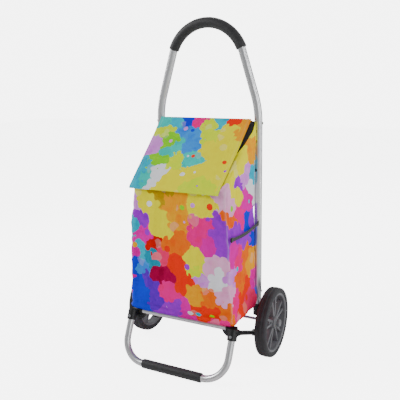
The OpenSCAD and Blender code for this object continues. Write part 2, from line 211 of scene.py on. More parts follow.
def tube_metal(name, colour, along_z):
    """Drawn and anodised tube: fine lines along it, faint smears and a satin gloss."""
    n = Nodes(name)
    coords = n.object_coords()
    stretch = (900, 900, 14) if along_z else (14, 900, 900)
    lines = n.noise(n.vector("MULTIPLY", coords, stretch), 1.0, 2.0).outputs["Fac"]
    smear = n.noise(coords, 22.0, 4.0).outputs["Fac"]
    tint = n.mix(n.step(smear, 0.35, 0.7), rgba(colour), paler(colour, 0.82, 0.0))
    tint = n.mix(n.math("MULTIPLY", lines, 0.22), tint, paler(colour, 0.55, 0.0))
    rough = n.math("ADD", n.step(smear, 0.3, 0.75, 0.24, 0.36), n.math("MULTIPLY", lines, 0.06))
    n.bump(lines, 0.12, 0.0004)
    return n.set(Base_Color=tint, Roughness=rough, Metallic=0.9)


def zinc_steel():
    """Zinc-plated steel: mottled, a little blue, brighter on scratches."""
    n = Nodes("zinc_steel")
    coords = n.object_coords()
    spangle = n.add("TexVoronoi", {"Vector": coords, "Scale": 260.0}).outputs["Color"]
    cloud = n.noise(coords, 60.0, 4.0).outputs["Fac"]
    value = n.add("SeparateColor", {0: spangle}).outputs[0]
    tint = n.mix(n.math("MULTIPLY", value, 0.5), rgba((0.50, 0.51, 0.53)),
                 rgba((0.38, 0.39, 0.42)))
    tint = n.mix(n.step(cloud, 0.5, 0.8), tint, rgba((0.30, 0.30, 0.31)))
    n.bump(cloud, 0.1, 0.0004)
    return n.set(Base_Color=tint, Roughness=n.step(cloud, 0.3, 0.8, 0.26, 0.42), Metallic=1.0)


def black_enamel():
    """Gloss black powder coat with a faint orange-peel surface."""
    n = Nodes("black_enamel")
    coords = n.object_coords()
    peel = n.noise(coords, 420.0, 2.0).outputs["Fac"]
    dust = n.noise(coords, 30.0, 5.0).outputs["Fac"]
    tint = n.mix(n.step(dust, 0.55, 0.8), rgba((0.012, 0.012, 0.014)), rgba((0.035, 0.035, 0.038)))
    n.bump(peel, 0.12, 0.0005)
    return n.set(Base_Color=tint, Roughness=n.step(dust, 0.3, 0.8, 0.26, 0.44), Coat_Weight=0.3)


def moulded_plastic(name, colour, grain, gloss):
    """Injection-moulded plastic: spark-eroded grain, paler scuffs and uneven gloss."""
    n = Nodes(name)
    coords = n.object_coords()
    spark = n.noise(coords, grain, 3.0, 0.7).outputs["Fac"]
    cloud = n.noise(coords, 35.0, 5.0).outputs["Fac"]
    tint = n.mix(n.step(cloud, 0.5, 0.85), rgba(colour), paler(colour, 1.5, 0.012))
    n.bump(spark, 0.25, 0.0004)
    return n.set(Base_Color=tint, Roughness=n.step(cloud, 0.25, 0.8, gloss, gloss + 0.14))


def foam_rubber(colour):
    """Closed-cell foam: tiny pores, soft sheen, slightly paler where it is rubbed."""
    n = Nodes("foam")
    coords = n.object_coords()
    pores = n.add("TexVoronoi", {"Vector": coords, "Scale": 900.0}).outputs["Distance"]
    cloud = n.noise(coords, 50.0, 4.0).outputs["Fac"]
    tint = n.mix(n.step(cloud, 0.45, 0.8), rgba(colour), paler(colour, 2.0, 0.006))
    height = n.math("ADD", pores, n.math("MULTIPLY", n.noise(coords, 260.0).outputs["Fac"], 0.5))
    n.bump(height, 0.35, 0.0006)
    return n.set(Base_Color=tint, Roughness=n.step(cloud, 0.3, 0.8, 0.5, 0.66), Sheen_Weight=0.25)


def tyre_rubber(colour):
    """Dark grey moulded rubber with a dusty bloom on the tread."""
    n = Nodes("tyre_rubber")
    coords = n.object_coords()
    grain = n.noise(coords, 700.0, 3.0, 0.7).outputs["Fac"]
    bloom = n.noise(coords, 26.0, 5.0).outputs["Fac"]
    tint = n.mix(n.step(bloom, 0.4, 0.75), rgba(colour), paler(colour, 1.7, 0.01))
    n.bump(grain, 0.3, 0.0005)
    return n.set(Base_Color=tint, Roughness=n.step(bloom, 0.3, 0.8, 0.55, 0.75))


def black_cloth(name, colour, pitch):
    """Woven black lining or webbing with fluffed, slightly faded threads."""
    n = Nodes(name)
    coords = n.object_coords()
    fuzz = n.noise(coords, 300.0, 4.0).outputs["Fac"]
    cloud = n.noise(coords, 25.0, 4.0).outputs["Fac"]
    tint = n.mix(n.step(cloud, 0.4, 0.8), rgba(colour), paler(colour, 1.8, 0.004))
    height = n.add("SeparateXYZ", {0: coords}).outputs[2]
    rib = n.math("SINE", n.math("MULTIPLY", height, 2 * math.pi / pitch))
    n.bump(n.math("ADD", n.math("MULTIPLY", rib, 0.4), fuzz), 0.4, 0.0005)
    return n.set(Base_Color=tint, Roughness=0.85, Sheen_Weight=0.3)


# ---------------------------------------------------------------- the bag's print

INK = {
    "yellow": (0.96, 0.90, 0.0), "lemon": (0.78, 0.95, 0.0), "ochre": (0.62, 0.40, 0.0),
    "amber": (1.0, 0.44, 0.0), "orange": (1.0, 0.19, 0.0), "flame": (1.0, 0.03, 0.0),
    "red": (0.72, 0.0, 0.0), "crimson": (0.46, 0.0, 0.07), "rose": (1.0, 0.03, 0.18),
    "pink": (1.0, 0.0, 0.31), "magenta": (0.85, 0.0, 0.46), "violet": (0.40, 0.01, 0.75),
    "purple": (0.16, 0.0, 0.66), "lilac": (0.80, 0.30, 0.88), "blush": (0.95, 0.46, 0.74),
    "white": (0.90, 0.90, 0.95), "sky": (0.04, 0.33, 0.92), "cyan": (0.0, 0.56, 0.75),
    "teal": (0.0, 0.33, 0.50), "blue": (0.0, 0.04, 0.85), "lime": (0.30, 0.80, 0.0),
    "aqua": (0.02, 0.68, 0.62),
}

# Ink, then its place on the panel in hundredths: across from the left, up from the bottom
FRONT_INKS = [
    ("ochre", 35, 100), ("yellow", 18, 88), ("amber", 48, 90), ("yellow", 74, 92),
    ("blush", 93, 96), ("lilac", 6, 87), ("violet", 15, 78), ("yellow", 32, 72),
    ("amber", 52, 76), ("orange", 53, 62), ("pink", 71, 69), ("violet", 90, 76), ("cyan", 5, 70),
    ("magenta", 19, 66), ("orange", 37, 60), ("magenta", 82, 63), ("violet", 93, 60),
    ("cyan", 15, 52), ("red", 26, 57), ("rose", 35, 49), ("flame", 46, 45), ("yellow", 66, 50),
    ("lemon", 73, 43), ("blush", 88, 50), ("magenta", 3, 52), ("blue", 2, 42), ("sky", 14, 40),
    ("teal", 25, 43), ("crimson", 37, 37), ("flame", 55, 32), ("lilac", 76, 36),
    ("white", 87, 39), ("purple", 21, 32), ("orange", 78, 23), ("amber", 68, 26), ("blue", 5, 22),
    ("blue", 15, 14), ("purple", 27, 12), ("pink", 43, 22), ("violet", 47, 12),
    ("magenta", 57, 11), ("flame", 68, 12), ("flame", 82, 12), ("blush", 96, 27),
    ("orange", 96, 12), ("pink", 90, 2), ("blue", 8, 3), ("violet", 38, 3),
]
SIDE_INKS = [
    ("blush", 14, 62), ("yellow", 20, 76), ("yellow", 55, 84), ("amber", 80, 88),
    ("violet", 40, 74), ("lilac", 62, 76), ("yellow", 30, 68), ("orange", 12, 56),
    ("magenta", 70, 63), ("white", 82, 66), ("violet", 20, 48), ("pink", 45, 54),
    ("magenta", 18, 38), ("violet", 60, 44), ("blue", 66, 50), ("violet", 88, 50),
    ("pink", 35, 34), ("orange", 62, 34), ("amber", 78, 28), ("lilac", 10, 27),
    ("orange", 45, 22), ("flame", 62, 16), ("magenta", 88, 18), ("pink", 16, 10),
    ("flame", 38, 7), ("rose", 72, 6), ("yellow", 90, 96), ("cyan", 92, 74),
]
FLAP_INKS = [
    ("aqua", 8, 92), ("cyan", 22, 94), ("blue", 30, 96), ("pink", 47, 99), ("lemon", 58, 92),
    ("cyan", 70, 98), ("flame", 80, 99), ("lemon", 12, 80), ("sky", 32, 84), ("sky", 44, 74),
    ("lime", 20, 68), ("sky", 50, 62), ("lemon", 62, 76), ("yellow", 80, 82), ("yellow", 68, 60),
    ("lilac", 6, 60), ("aqua", 26, 55), ("yellow", 88, 55), ("lime", 20, 36), ("lemon", 36, 38),
    ("aqua", 55, 44), ("yellow", 60, 24), ("yellow", 84, 30), ("cyan", 6, 26), ("aqua", 14, 14),
    ("white", 22, 6), ("white", 24, 24), ("yellow", 42, 14), ("yellow", 30, 2), ("cyan", 2, 4),
    ("lemon", 72, 8), ("amber", 96, 86),
]
DOTS = ["white", "lilac", "blue", "flame", "lime", "cyan", "lilac", "amber", "violet", "white"]


# Three layers of round dabs: cells per metre, share of a cell that a dab fills, shift of cells
DABS = ((24.0, 0.66, 0.0), (36.0, 0.60, 3.3), (52.0, 0.55, 7.1))
DABS_LAID = 0.72
# Of each layer, the dabs that are dipped twice: from where to where on their luck
DIPPED = ((0.30, 0.70), (0.45, 0.72), (0.5, 0.72))
PALE_DABS = 0.64
WANDER, RAGGED = 0.009, 0.0020
THREAD_PITCH = 0.0011


def printed_cloth(name, inks, dot_share, fineness=1.0):
    """Woven polyester with watercolour dabs: each dab takes the ink that is laid nearest it.

    The place on the cloth comes from the piece's "cloth" attribute, its pale lines from its stitch
    attribute: cream thread along hems, and a painted highlight along the bag's upright corner
    seams.
    """
    n = Nodes(name)
    place = n.add("Attribute", attribute_name="cloth").outputs["Vector"]
    wander = n.noise(place, 18.0, 2.0).outputs["Color"]
    wander = n.vector("MULTIPLY", n.vector("SUBTRACT", wander, (0.5,) * 3), (WANDER,) * 3)
    ragged = n.noise(place, 190.0, 2.0).outputs["Color"]
    ragged = n.vector("MULTIPLY", n.vector("SUBTRACT", ragged, (0.5,) * 3), (RAGGED,) * 3)
    bent = n.vector("ADD", n.vector("ADD", place, wander), ragged)
    query = bent
    lucks = []
    for cells, share, shift in DABS:
        moved = n.vector("ADD", bent, (shift,) * 3)
        dabs = n.add("TexVoronoi", {"Vector": moved, "Scale": cells * fineness,
                                    "Randomness": 0.85})
        luck = n.add("SeparateColor", {0: dabs.outputs["Color"]}).outputs[0]
        centre = n.vector("SUBTRACT", dabs.outputs["Position"], (shift,) * 3)
        laid = n.math("MULTIPLY", n.math("LESS_THAN", dabs.outputs["Distance"], share),
                      n.math("LESS_THAN", luck, DABS_LAID))
        query = n.add("Mix", {0: laid, 4: query, 5: centre}, data_type="VECTOR").outputs[1]
        lucks.append(n.math("MULTIPLY", laid, luck))
    nearest = 9.0
    colour = rgba(INK[inks[0][0]])
    for ink, spot in inks:
        away = n.vector("DISTANCE", query, spot)
        closer = n.math("LESS_THAN", away, nearest)
        colour = n.mix(closer, colour, rgba(INK[ink]))
        nearest = n.math("MINIMUM", away, nearest)

    wash = n.noise(place, 48.0, 5.0, 0.65).outputs["Fac"]
    deep = n.mix(0.40, colour, colour, "MULTIPLY")
    colour = n.mix(n.step(wash, 0.38, 0.75), colour, deep)
    for luck, (low, high) in zip(lucks, DIPPED):
        dipped = n.mix(0.28, colour, colour, "MULTIPLY")
        colour = n.mix(n.step(luck, low, high), colour, dipped)
    pale = n.mix(0.16, colour, rgba((1.0, 0.97, 0.90)))
    colour = n.mix(n.math("GREATER_THAN", lucks[1], PALE_DABS), colour, pale)

    drops = n.add("TexVoronoi", {"Vector": bent, "Scale": DABS[0][0] * fineness,
                                 "Randomness": 0.9})
    luck = n.add("SeparateColor", {0: drops.outputs["Color"]})
    ramp = n.add("ValToRGB", {0: luck.outputs[0]})
    ramp.color_ramp.interpolation = "CONSTANT"
    while len(ramp.color_ramp.elements) < len(DOTS):
        ramp.color_ramp.elements.new(0.5)
    for i, dot in enumerate(DOTS):
        ramp.color_ramp.elements[i].position = i / len(DOTS)
        ramp.color_ramp.elements[i].color = rgba(INK[dot])
    size = n.math("MULTIPLY_ADD", luck.outputs[1], 0.16, 0.12)
    inside = n.math("LESS_THAN", drops.outputs["Distance"], size)
    chosen = n.math("LESS_THAN", luck.outputs[2], dot_share)
    colour = n.mix(n.math("MULTIPLY", inside, chosen), colour, ramp.outputs[0])

    # Pale lines: cream thread along the hems, and on the bag a painted highlight along each upright
    # corner seam's ridge
    stitch_and_seam_highlight = n.add("Attribute", attribute_name="stitch_and_seam_highlight").outputs["Fac"]
    colour = n.mix(n.math("MULTIPLY", stitch_and_seam_highlight, 0.35), colour, rgba((0.95, 0.90, 0.84)))
    axes = n.add("SeparateXYZ", {0: place})
    turn = 2 * math.pi / THREAD_PITCH
    across = n.math("ADD", axes.outputs[0], axes.outputs[1])
    warp = n.math("SINE", n.math("MULTIPLY", across, turn))
    weft = n.math("SINE", n.math("MULTIPLY", axes.outputs[2], turn))
    crumple = n.noise(place, 90.0, 4.0, 0.6).outputs["Fac"]
    height = n.math("ADD", n.math("MULTIPLY", n.math("ADD", warp, weft), 0.05), crumple)
    n.bump(height, 0.5, 0.0022)
    return n.set(Base_Color=colour, Roughness=0.8, Specular_IOR_Level=0.08)


# ---------------------------------------------------------------- modelling helpers


def only(obj):
    """Selects one object and nothing else."""
    bpy.ops.object.select_all(action="DESELECT")
    obj.select_set(True)
    bpy.context.view_layer.objects.active = obj


def named(name):
    """Names the active object and its mesh."""
    obj = bpy.context.object
    obj.name = name
    obj.data.name = name
    return obj


def primitive(name, kind, **values):
    """Adds one mesh primitive, the only thing selected."""
    bpy.ops.object.select_all(action="DESELECT")
    getattr(bpy.ops.mesh, "primitive_" + kind + "_add")(**values)
    return named(name)


def shade(obj, angle):
    """Shades a piece smooth, apart from edges sharper than the angle in degrees."""
    only(obj)
    bpy.ops.object.shade_smooth_by_angle(angle=math.radians(angle))


def open_mesh(obj, chosen=None):
    """Opens a mesh for editing, with all of it selected, or the vertices that chosen() accepts."""
    only(obj)
    bpy.ops.object.mode_set(mode="EDIT")
    bpy.ops.mesh.select_mode(type="VERT")
    bpy.ops.mesh.select_all(action="SELECT" if chosen is None else "DESELECT")
    if chosen is not None:
        bpy.ops.object.mode_set(mode="OBJECT")
        for vertex in obj.data.vertices:
            vertex.select = bool(chosen(vertex.co))
        bpy.ops.object.mode_set(mode="EDIT")


def close_mesh():
    """Leaves edit mode."""
    bpy.ops.object.mode_set(mode="OBJECT")


def modify(obj, kind, **values):
    """Adds one modifier and applies it."""
    only(obj)
    modifier = obj.modifiers.new(kind.title(), kind)
    for key, value in values.items():
        setattr(modifier, key, value)
    bpy.ops.object.modifier_apply(modifier=modifier.name)


def reshape(obj, rule):
    """Moves every vertex of a mesh to where rule(place) says."""
    for vertex in obj.data.vertices:
        vertex.co = rule(vertex.co)
    obj.data.update()


def tidy(obj, angle=35.0):
    """Merges doubles, turns faces outwards and shades the piece smooth."""
    open_mesh(obj)
    bpy.ops.mesh.remove_doubles(threshold=0.00002)
    bpy.ops.mesh.select_all(action="SELECT")
    bpy.ops.mesh.normals_make_consistent(inside=False)
    close_mesh()
    shade(obj, angle)


def turned(name, outline, steps=96):
    """A ring turned about the X axis from a closed outline of (radius, along) points."""
    obj = primitive(name, "circle", vertices=len(outline), radius=1.0)
    for vertex, (radius, along) in zip(obj.data.vertices, outline):
        vertex.co = (along, 0.0, radius)
    open_mesh(obj)
    bpy.ops.mesh.spin(steps=steps, angle=2 * math.pi, center=(0, 0, 0), axis=(1, 0, 0))
    close_mesh()
    tidy(obj)
    return obj


def joined(name, pieces):
    """Joins several meshes into one."""
    bpy.ops.object.select_all(action="DESELECT")
    for piece in pieces:
        piece.select_set(True)
    bpy.context.view_layer.objects.active = pieces[0]
    bpy.ops.object.join()
    return named(name)


def copy_of(obj, matrix, name):
    """A copy with its own mesh, moved by matrix, facing outwards again if it was mirrored."""
    twin = obj.copy()
    twin.data = obj.data.copy()
    twin.name = name
    bpy.context.collection.objects.link(twin)
    twin.data.transform(matrix)
    if matrix.determinant() < 0:
        twin.data.flip_normals()
    return twin


def hand_over(obj, material, body, slot, *nodes):
    """Gives a finished piece its finish, its body and the nodes that it stands for."""
    obj.data.materials.clear()
    obj.data.materials.append(material)
    if nodes:
        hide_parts(*nodes)
    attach(obj, body)
    return obj


def arc(centre, radius, start_angle, end_angle, count):
    """Points (radius, along) on an arc of a turned outline, with angles from the radius axis."""
    points = []
    for i in range(count):
        a = math.radians(start_angle + (end_angle - start_angle) * i / (count - 1))
        points.append((centre[0] + radius * math.cos(a), centre[1] + radius * math.sin(a)))
    return points


# ---------------------------------------------------------------- moulded and turned pieces


SLEEVE_CHAMFER = 0.0006
# Cosine and sine of the slant of the grip's end faces
GRIP_SLANT = (0.93, 0.37)
FOOT_BORE_R = 0.0097


def sleeve(name, length, r_out, r_in, rounding, cuts):
    """A straight foam sleeve along X with rounded ends, cut into rings so that it can be bent."""
    half = length / 2
    outline = [(r_in, -half + SLEEVE_CHAMFER)]
    outline += arc((r_out - rounding, -half + rounding), rounding, -90, 0, 6)
    for i in range(1, cuts):
        outline.append((r_out, -half + rounding + (length - 2 * rounding) * i / cuts))
    outline += arc((r_out - rounding, half - rounding), rounding, 0, 90, 6)
    outline.append((r_in, half - SLEEVE_CHAMFER))
    for i in range(cuts - 1, 0, -1):
        outline.append((r_in, -half + length * i / cuts))
    return turned(name, outline, 48)


class TROLLEY_OT_handle_grip(bpy.types.Operator):
    """Makes the foam grip: a straight sleeve bent around the handle's arch."""

    bl_idname = "trolley.handle_grip"
    bl_label = "Handle grip"

    def execute(self, context):
        sizes, colours = context.scene.trolley_sizes, context.scene.trolley_colours
        half_span = (GRIP_HIGH.x - GRIP_LOW.x) / 2
        top = GRIP_HIGH.z - GRIP_R
        drop = top - GRIP_LOW.z
        reach = half_span - GRIP_R * GRIP_SLANT[0]
        rise = drop - GRIP_R * GRIP_SLANT[1]
        radius = (reach ** 2 + rise ** 2) / (2 * rise)
        angle = 2 * math.asin(min(1.0, reach / radius))
        centre = Vector((0.0, LEG_Y, top - radius))
        grip = sleeve("handle_foam", radius * angle, GRIP_R, TUBE_R + 0.0002, sizes.foam_round, 60)

        def bend(co):
            turn = co.x / radius
            out = radius + co.z
            return centre + Vector((out * math.sin(turn), co.y, out * math.cos(turn)))

        reshape(grip, bend)
        tidy(grip)
        hand_over(grip, foam_rubber(colours.foam), "frame", "foam", "handle_grip")
        return {"FINISHED"}


class TROLLEY_OT_foot_sleeve(bpy.types.Operator):
    """Makes the foam sleeve on the foot's bar."""

    bl_idname = "trolley.foot_sleeve"
    bl_label = "Foot sleeve"

    def execute(self, context):
        sizes, colours = context.scene.trolley_sizes, context.scene.trolley_colours
        r_out = (SLEEVE_HIGH.z - SLEEVE_LOW.z) / 2
        middle = (SLEEVE_LOW + SLEEVE_HIGH) / 2
        foam = sleeve("foot_foam", SLEEVE_HIGH.x - SLEEVE_LOW.x, r_out, FOOT_BORE_R,
                      sizes.foam_round, 20)
        reshape(foam, lambda co: co + middle)
        tidy(foam)
        hand_over(foam, foam_rubber(colours.foam), "platform", "foam", "foot_sleeve")
        return {"FINISHED"}


TREAD_CROWN = 0.0022
GROOVE_SPREAD = 0.62
# Half widths of a tread groove at its edge and at its floor
GROOVE_EDGE, GROOVE_FLOOR = 0.0011, 0.0007


def tyre_outline(r_out, r_in, half, groove):
    """Half-round shoulders, a crowned tread with three grooves, and a bead step at the rim."""
    shoulder = (r_out - r_in) / 2
    points = [(r_in, -half + 0.0015), (r_in + 0.002, -half + 0.0002)]
    points += [(r - TREAD_CROWN * (a + half) / half, a) for r, a in
               arc((r_out - shoulder, -half + shoulder), shoulder, -90, -12, 9)]
    flat = half - shoulder
    for i in (-1, 0, 1):
        at = i * flat * GROOVE_SPREAD
        edge = r_out + (TREAD_CROWN * (1 - (at / flat) ** 2) if flat else 0.0) - TREAD_CROWN
        for offset, depth in ((-GROOVE_EDGE, 0.0), (-GROOVE_FLOOR, groove),
                              (GROOVE_FLOOR, groove), (GROOVE_EDGE, 0.0)):
            points.append((edge - depth, at + offset))
    points += [(r - TREAD_CROWN * (half - a) / half, a) for r, a in
               arc((r_out - shoulder, half - shoulder), shoulder, 12, 90, 9)]
    points += [(r_in + 0.002, half - 0.0002), (r_in, half - 0.0015)]
    return points


HUB_R = 0.018
RING_DEPTH = 0.0070
RING_INSET = 0.0028
SPOKE_PAIRS = 5
SPOKE_LEAN = 12.0
SPOKE_SPLAY = 0.0032
# Half widths along the axle of a spoke at the hub and at the ring
SPOKE_HALF_HUB, SPOKE_HALF_RIM = 0.0085, 0.0070
# The thin web between the two spokes of a pair: its share of a spoke's size along X, Y and Z
WEB_SHARE = (0.6, 1.5, 0.34)
WEB_RISE = 0.034


def rim_spoke(inner, outer, half_hub, half_rim, width):
    """One tapered spoke with rounded long edges, along +Z from hub to rim ring."""
    spoke = primitive("spoke", "cube", size=2.0)

    def taper(co):
        far = (co.z + 1) / 2
        wide = width / 2 * (1.15 - 0.15 * far)
        deep = half_hub + (half_rim - half_hub) * far
        return Vector((co.x * deep, co.y * wide, inner + (outer - inner) * far))

    open_mesh(spoke)
    bpy.ops.mesh.subdivide(number_cuts=5)
    close_mesh()
    reshape(spoke, taper)
    modify(spoke, "BEVEL", width=0.0012, segments=2, limit_method="ANGLE")
    return spoke


class TROLLEY_OT_wheels(bpy.types.Operator):
    """Makes both wheels: grooved tyres and grey rims with double spokes, ring and stepped hub."""

    bl_idname = "trolley.wheels"
    bl_label = "Wheels"

    def execute(self, context):
        sizes, colours = context.scene.trolley_sizes, context.scene.trolley_colours
        rubber = tyre_rubber(colours.tyre)
        plastic = moulded_plastic("rim_plastic", colours.rim, 500.0, 0.34)
        low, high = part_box("tyre_right")
        centre = (low + high) / 2
        r_out = (high.z - low.z) / 2
        half = (high.x - low.x) / 2
        rim_low, rim_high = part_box("rim_right")
        rim_r = (rim_high.z - rim_low.z) / 2
        hub_half = (rim_high.x - rim_low.x) / 2
        bush_low, bush_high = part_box("hub_bush_right")
        bore = (bush_high.z - bush_low.z) / 2

        tyre = turned("tyre", tyre_outline(r_out, rim_r, half, sizes.groove_depth), 128)

        lip = half - RING_INSET
        ring_in = rim_r - RING_DEPTH
        outline = [(rim_r, -lip), (rim_r, lip), (rim_r - 0.0015, lip + 0.0008),
                   (rim_r - 0.0040, lip + 0.0002), (ring_in + 0.0006, lip - 0.0016),
                   (ring_in, lip - 0.0040), (ring_in + 0.0008, 0.0060), (ring_in - 0.0002, 0.0),
                   (ring_in + 0.0008, -0.0060), (ring_in, -lip + 0.0040),
                   (ring_in + 0.0006, -lip + 0.0016), (rim_r - 0.0040, -lip - 0.0002),
                   (rim_r - 0.0015, -lip - 0.0008)]
        ring = turned("rim_ring", outline, 128)
        face = [(bore + 0.0001, hub_half), (bore + 0.0035, hub_half),
                (bore + 0.0045, hub_half - 0.0008), (bore + 0.0050, hub_half - 0.0022),
                (HUB_R - 0.0025, hub_half - 0.0030), (HUB_R - 0.0008, hub_half - 0.0042),
                (HUB_R, hub_half - 0.0062), (HUB_R, 0.004)]
        hub = turned("hub", face + [(r, -a) for r, a in reversed(face)], 64)
        spoke = rim_spoke(HUB_R - 0.002, ring_in + 0.0015, SPOKE_HALF_HUB, SPOKE_HALF_RIM,
                          sizes.spoke_width)
        parts = [ring, hub]
        for i in range(SPOKE_PAIRS):
            around_hub = Matrix.Rotation(2 * math.pi * i / SPOKE_PAIRS, 4, "X")
            for side in (-1, 1):
                lean = (Matrix.Translation((0, side * SPOKE_SPLAY, HUB_R))
                        @ Matrix.Rotation(math.radians(-side * SPOKE_LEAN), 4, "X")
                        @ Matrix.Translation((0, 0, -HUB_R)))
                parts.append(copy_of(spoke, around_hub @ lean, "spoke"))
            web = Matrix.Diagonal((*WEB_SHARE, 1)) @ Matrix.Translation((0, 0, WEB_RISE))
            parts.append(copy_of(spoke, around_hub @ web, "spoke_web"))
        bpy.data.objects.remove(spoke)
        rim = joined("rim", parts)
        shade(rim, 32)

        for side, name in ((1, "right"), (-1, "left")):
            place = Matrix.Translation((side * centre.x, centre.y, centre.z))
            if side < 0:
                place = place @ Matrix.Diagonal((-1, 1, 1, 1))
            body = "wheel_" + name
            hand_over(copy_of(tyre, place, "tyre_tread_" + name), rubber, body, "tyre",
                      "tyre_" + name)
            hand_over(copy_of(rim, place, "spoked_rim_" + name), plastic, body, "rim_plastic",
                      "rim_" + name)
        bpy.data.objects.remove(tyre)
        bpy.data.objects.remove(rim)
        return {"FINISHED"}


class TROLLEY_OT_metalwork(bpy.types.Operator):
    """Gives the frame's own tubes, brackets, pins and screws their finishes."""

    bl_idname = "trolley.metalwork"
    bl_label = "Metalwork"

    def execute(self, context):
        colours = context.scene.trolley_colours
        black = moulded_plastic("bracket_plastic", colours.moulding, 650.0, 0.38)
        grey = moulded_plastic("cap_plastic", colours.rim, 500.0, 0.34)
        nylon = moulded_plastic("nylon", (0.62, 0.61, 0.56), 400.0, 0.3)
        upright = tube_metal("satin_tube", colours.tube, True)
        level = tube_metal("satin_cross_tube", colours.tube, False)
        finishes = (
            (upright, ("frame_tube", "foot_tube")),
            (level, ("front_cross_tube",)),
            (zinc_steel(), ("hanger_bar", "lower_cross_bar", "leg_rivets", "axle_rod",
                            "axle_spacer_left", "axle_spacer_right", "pivot_pin_left",
                            "pivot_pin_right", "bracket_screws")),
            (black_enamel(), ("side_rail_left", "side_rail_right")),
            (black, ("rear_bracket_left", "rear_bracket_right", "front_bracket_left",
                     "front_bracket_right", "bag_clips")),
            (grey, ("axle_cap_left", "axle_cap_right")),
            (nylon, ("hub_bush_left", "hub_bush_right")),
        )
        for finish, nodes in finishes:
            for node in nodes:
                mesh = frame["nodes"][node].data
                if not mesh.materials:
                    mesh.materials.append(finish)
                for i in range(len(mesh.materials)):
                    mesh.materials[i] = finish
        return {"FINISHED"}


# ---------------------------------------------------------------- soft pieces

SIM_FRAMES = 24
BAG_CORNER = 0.016
BAG_BASE_ROUND = 0.013
SLOPE_DOWN = Vector((0.0, -math.cos(SLOPE), -math.sin(SLOPE)))
SLOPE_OUT = Vector((0.0, -math.sin(SLOPE), math.cos(SLOPE)))
FLAP_LIP = 0.004
LIP_BEND_R = 0.0018
FLAP_LIFT = 0.0030
HEM_STITCH_IN = 0.007
FLAP_SKEW = 0.008
FLAP_LEN = (HINGE.y - FLAP_LOW.y) / math.cos(SLOPE) - 0.016
FLAP_BACK = (FLAP_HIGH.x - FLAP_LOW.x) / 2
FLAP_FRONT = FLAP_BACK - 0.007
FOLD_ROW = 0.925
FOLD_WIDTH = 0.022
SEAM_SHARE = 0.20
# Row of the bag's walls, from 0 to 1, at which the rounded bottom edge ends
BASE_ROW = 0.06
# Beyond this far from the middle a place belongs to a side panel's edge
PANEL_X = 0.12
BASE_SPREAD = 0.0065
LEFT_SHIFT, RIGHT_SHIFT = 0.0015, -0.001
DRAW, DRAW_MORE = 0.0045, 0.010
LEFT_DROP = 0.002
RIM_RISE, RIM_RISE_FRONT = 0.003, 0.009
LEFT_LEAN = 0.011
TUCK_LIFT = 0.0030
# How far the walls may stand past the CAD bag's sides
LEFT_ROOM, RIGHT_ROOM = 0.009, 0.007
LINING_GAP = 0.0003
LINING_THICK = 0.0006


def ripple(place, seed, scale):
    """Smooth noise from -1 to 1 that is the same on each run."""
    return noise.noise(Vector(place) * scale + Vector((seed, 1.7 * seed, -seed)))


def smooth_step(low, high, value):
    """0 up to low, 1 past high and a soft step between; low may be the larger one."""
    t = min(1.0, max(0.0, (value - low) / (high - low)))
    return t * t * (3 - 2 * t)


def write_attribute(obj, name, values, vector=False):
    """Stores one value for each vertex as a named attribute."""
    kind, field = ("FLOAT_VECTOR", "vector") if vector else ("FLOAT", "value")
    layer = obj.data.attributes.get(name) or obj.data.attributes.new(name, kind, "POINT")
    layer.data.foreach_set(field, np.asarray(values, dtype=np.float32).ravel())


def read_attribute(obj, name, vector=False):
    """One value for each vertex, from a named attribute."""
    data = obj.data.attributes[name].data
    out = np.zeros(len(data) * (3 if vector else 1), dtype=np.float32)
    data.foreach_get("vector" if vector else "value", out)
    return out.reshape(-1, 3) if vector else out


def places(obj):
    """The places of all vertices, one row each."""
    out = np.zeros(len(obj.data.vertices) * 3, dtype=np.float32)
    obj.data.vertices.foreach_get("co", out)
    return out.reshape(-1, 3)


CLOTH_RULES = {
    "quality": 7, "mass": 0.25, "tension_stiffness": 25, "compression_stiffness": 25,
    "shear_stiffness": 12, "bending_stiffness": 0.35, "air_damping": 3,
}


def simulate(obj, hold, slack, pressure, cap):
    """Lets the cloth settle between the places that hold() pins, and limits how far it moves."""
    before = places(obj)
    group = obj.vertex_groups.new(name="held")
    for vertex in obj.data.vertices:
        strength = hold(vertex.co)
        if strength > 0:
            group.add([vertex.index], strength, "REPLACE")
    only(obj)
    cloth = obj.modifiers.new("Cloth", "CLOTH")
    rules = cloth.settings
    for key, value in CLOTH_RULES.items():
        setattr(rules, key, value)
    rules.shrink_min = -slack
    rules.vertex_group_mass = group.name
    rules.use_pressure = pressure != 0
    rules.uniform_pressure_force = pressure
    cloth.point_cache.frame_start = 1
    cloth.point_cache.frame_end = SIM_FRAMES
    scene = bpy.context.scene
    for step in range(1, SIM_FRAMES + 1):
        scene.frame_set(step)
    bpy.ops.object.modifier_apply(modifier=cloth.name)
    scene.frame_set(1)
    obj.vertex_groups.clear()
    moved = places(obj) - before
    length = np.linalg.norm(moved, axis=1, keepdims=True)
    factor = np.where(length > 1e-9, cap * np.tanh(length / cap) / np.maximum(length, 1e-9), 1.0)
    obj.data.vertices.foreach_set("co", (before + moved * factor).astype(np.float32).ravel())
    obj.data.update()


def round_corner(x, y, half_x, half_y, radius):
    """Bends the corners of a rectangle's border, and of its inside, onto a radius."""
    dx, dy = abs(x) - (half_x - radius), abs(y) - (half_y - radius)
    if dx <= 0 or dy <= 0:
        return x, y
    reach = math.hypot(dx, dy)
    factor = max(dx, dy) / reach
    return (math.copysign(half_x - radius + dx * factor, x),
            math.copysign(half_y - radius + dy * factor, y))


def front_share(y):
    """0 at the bag's back, 1 at its front."""
    return (BAG_HIGH.y - y) / BAG_D


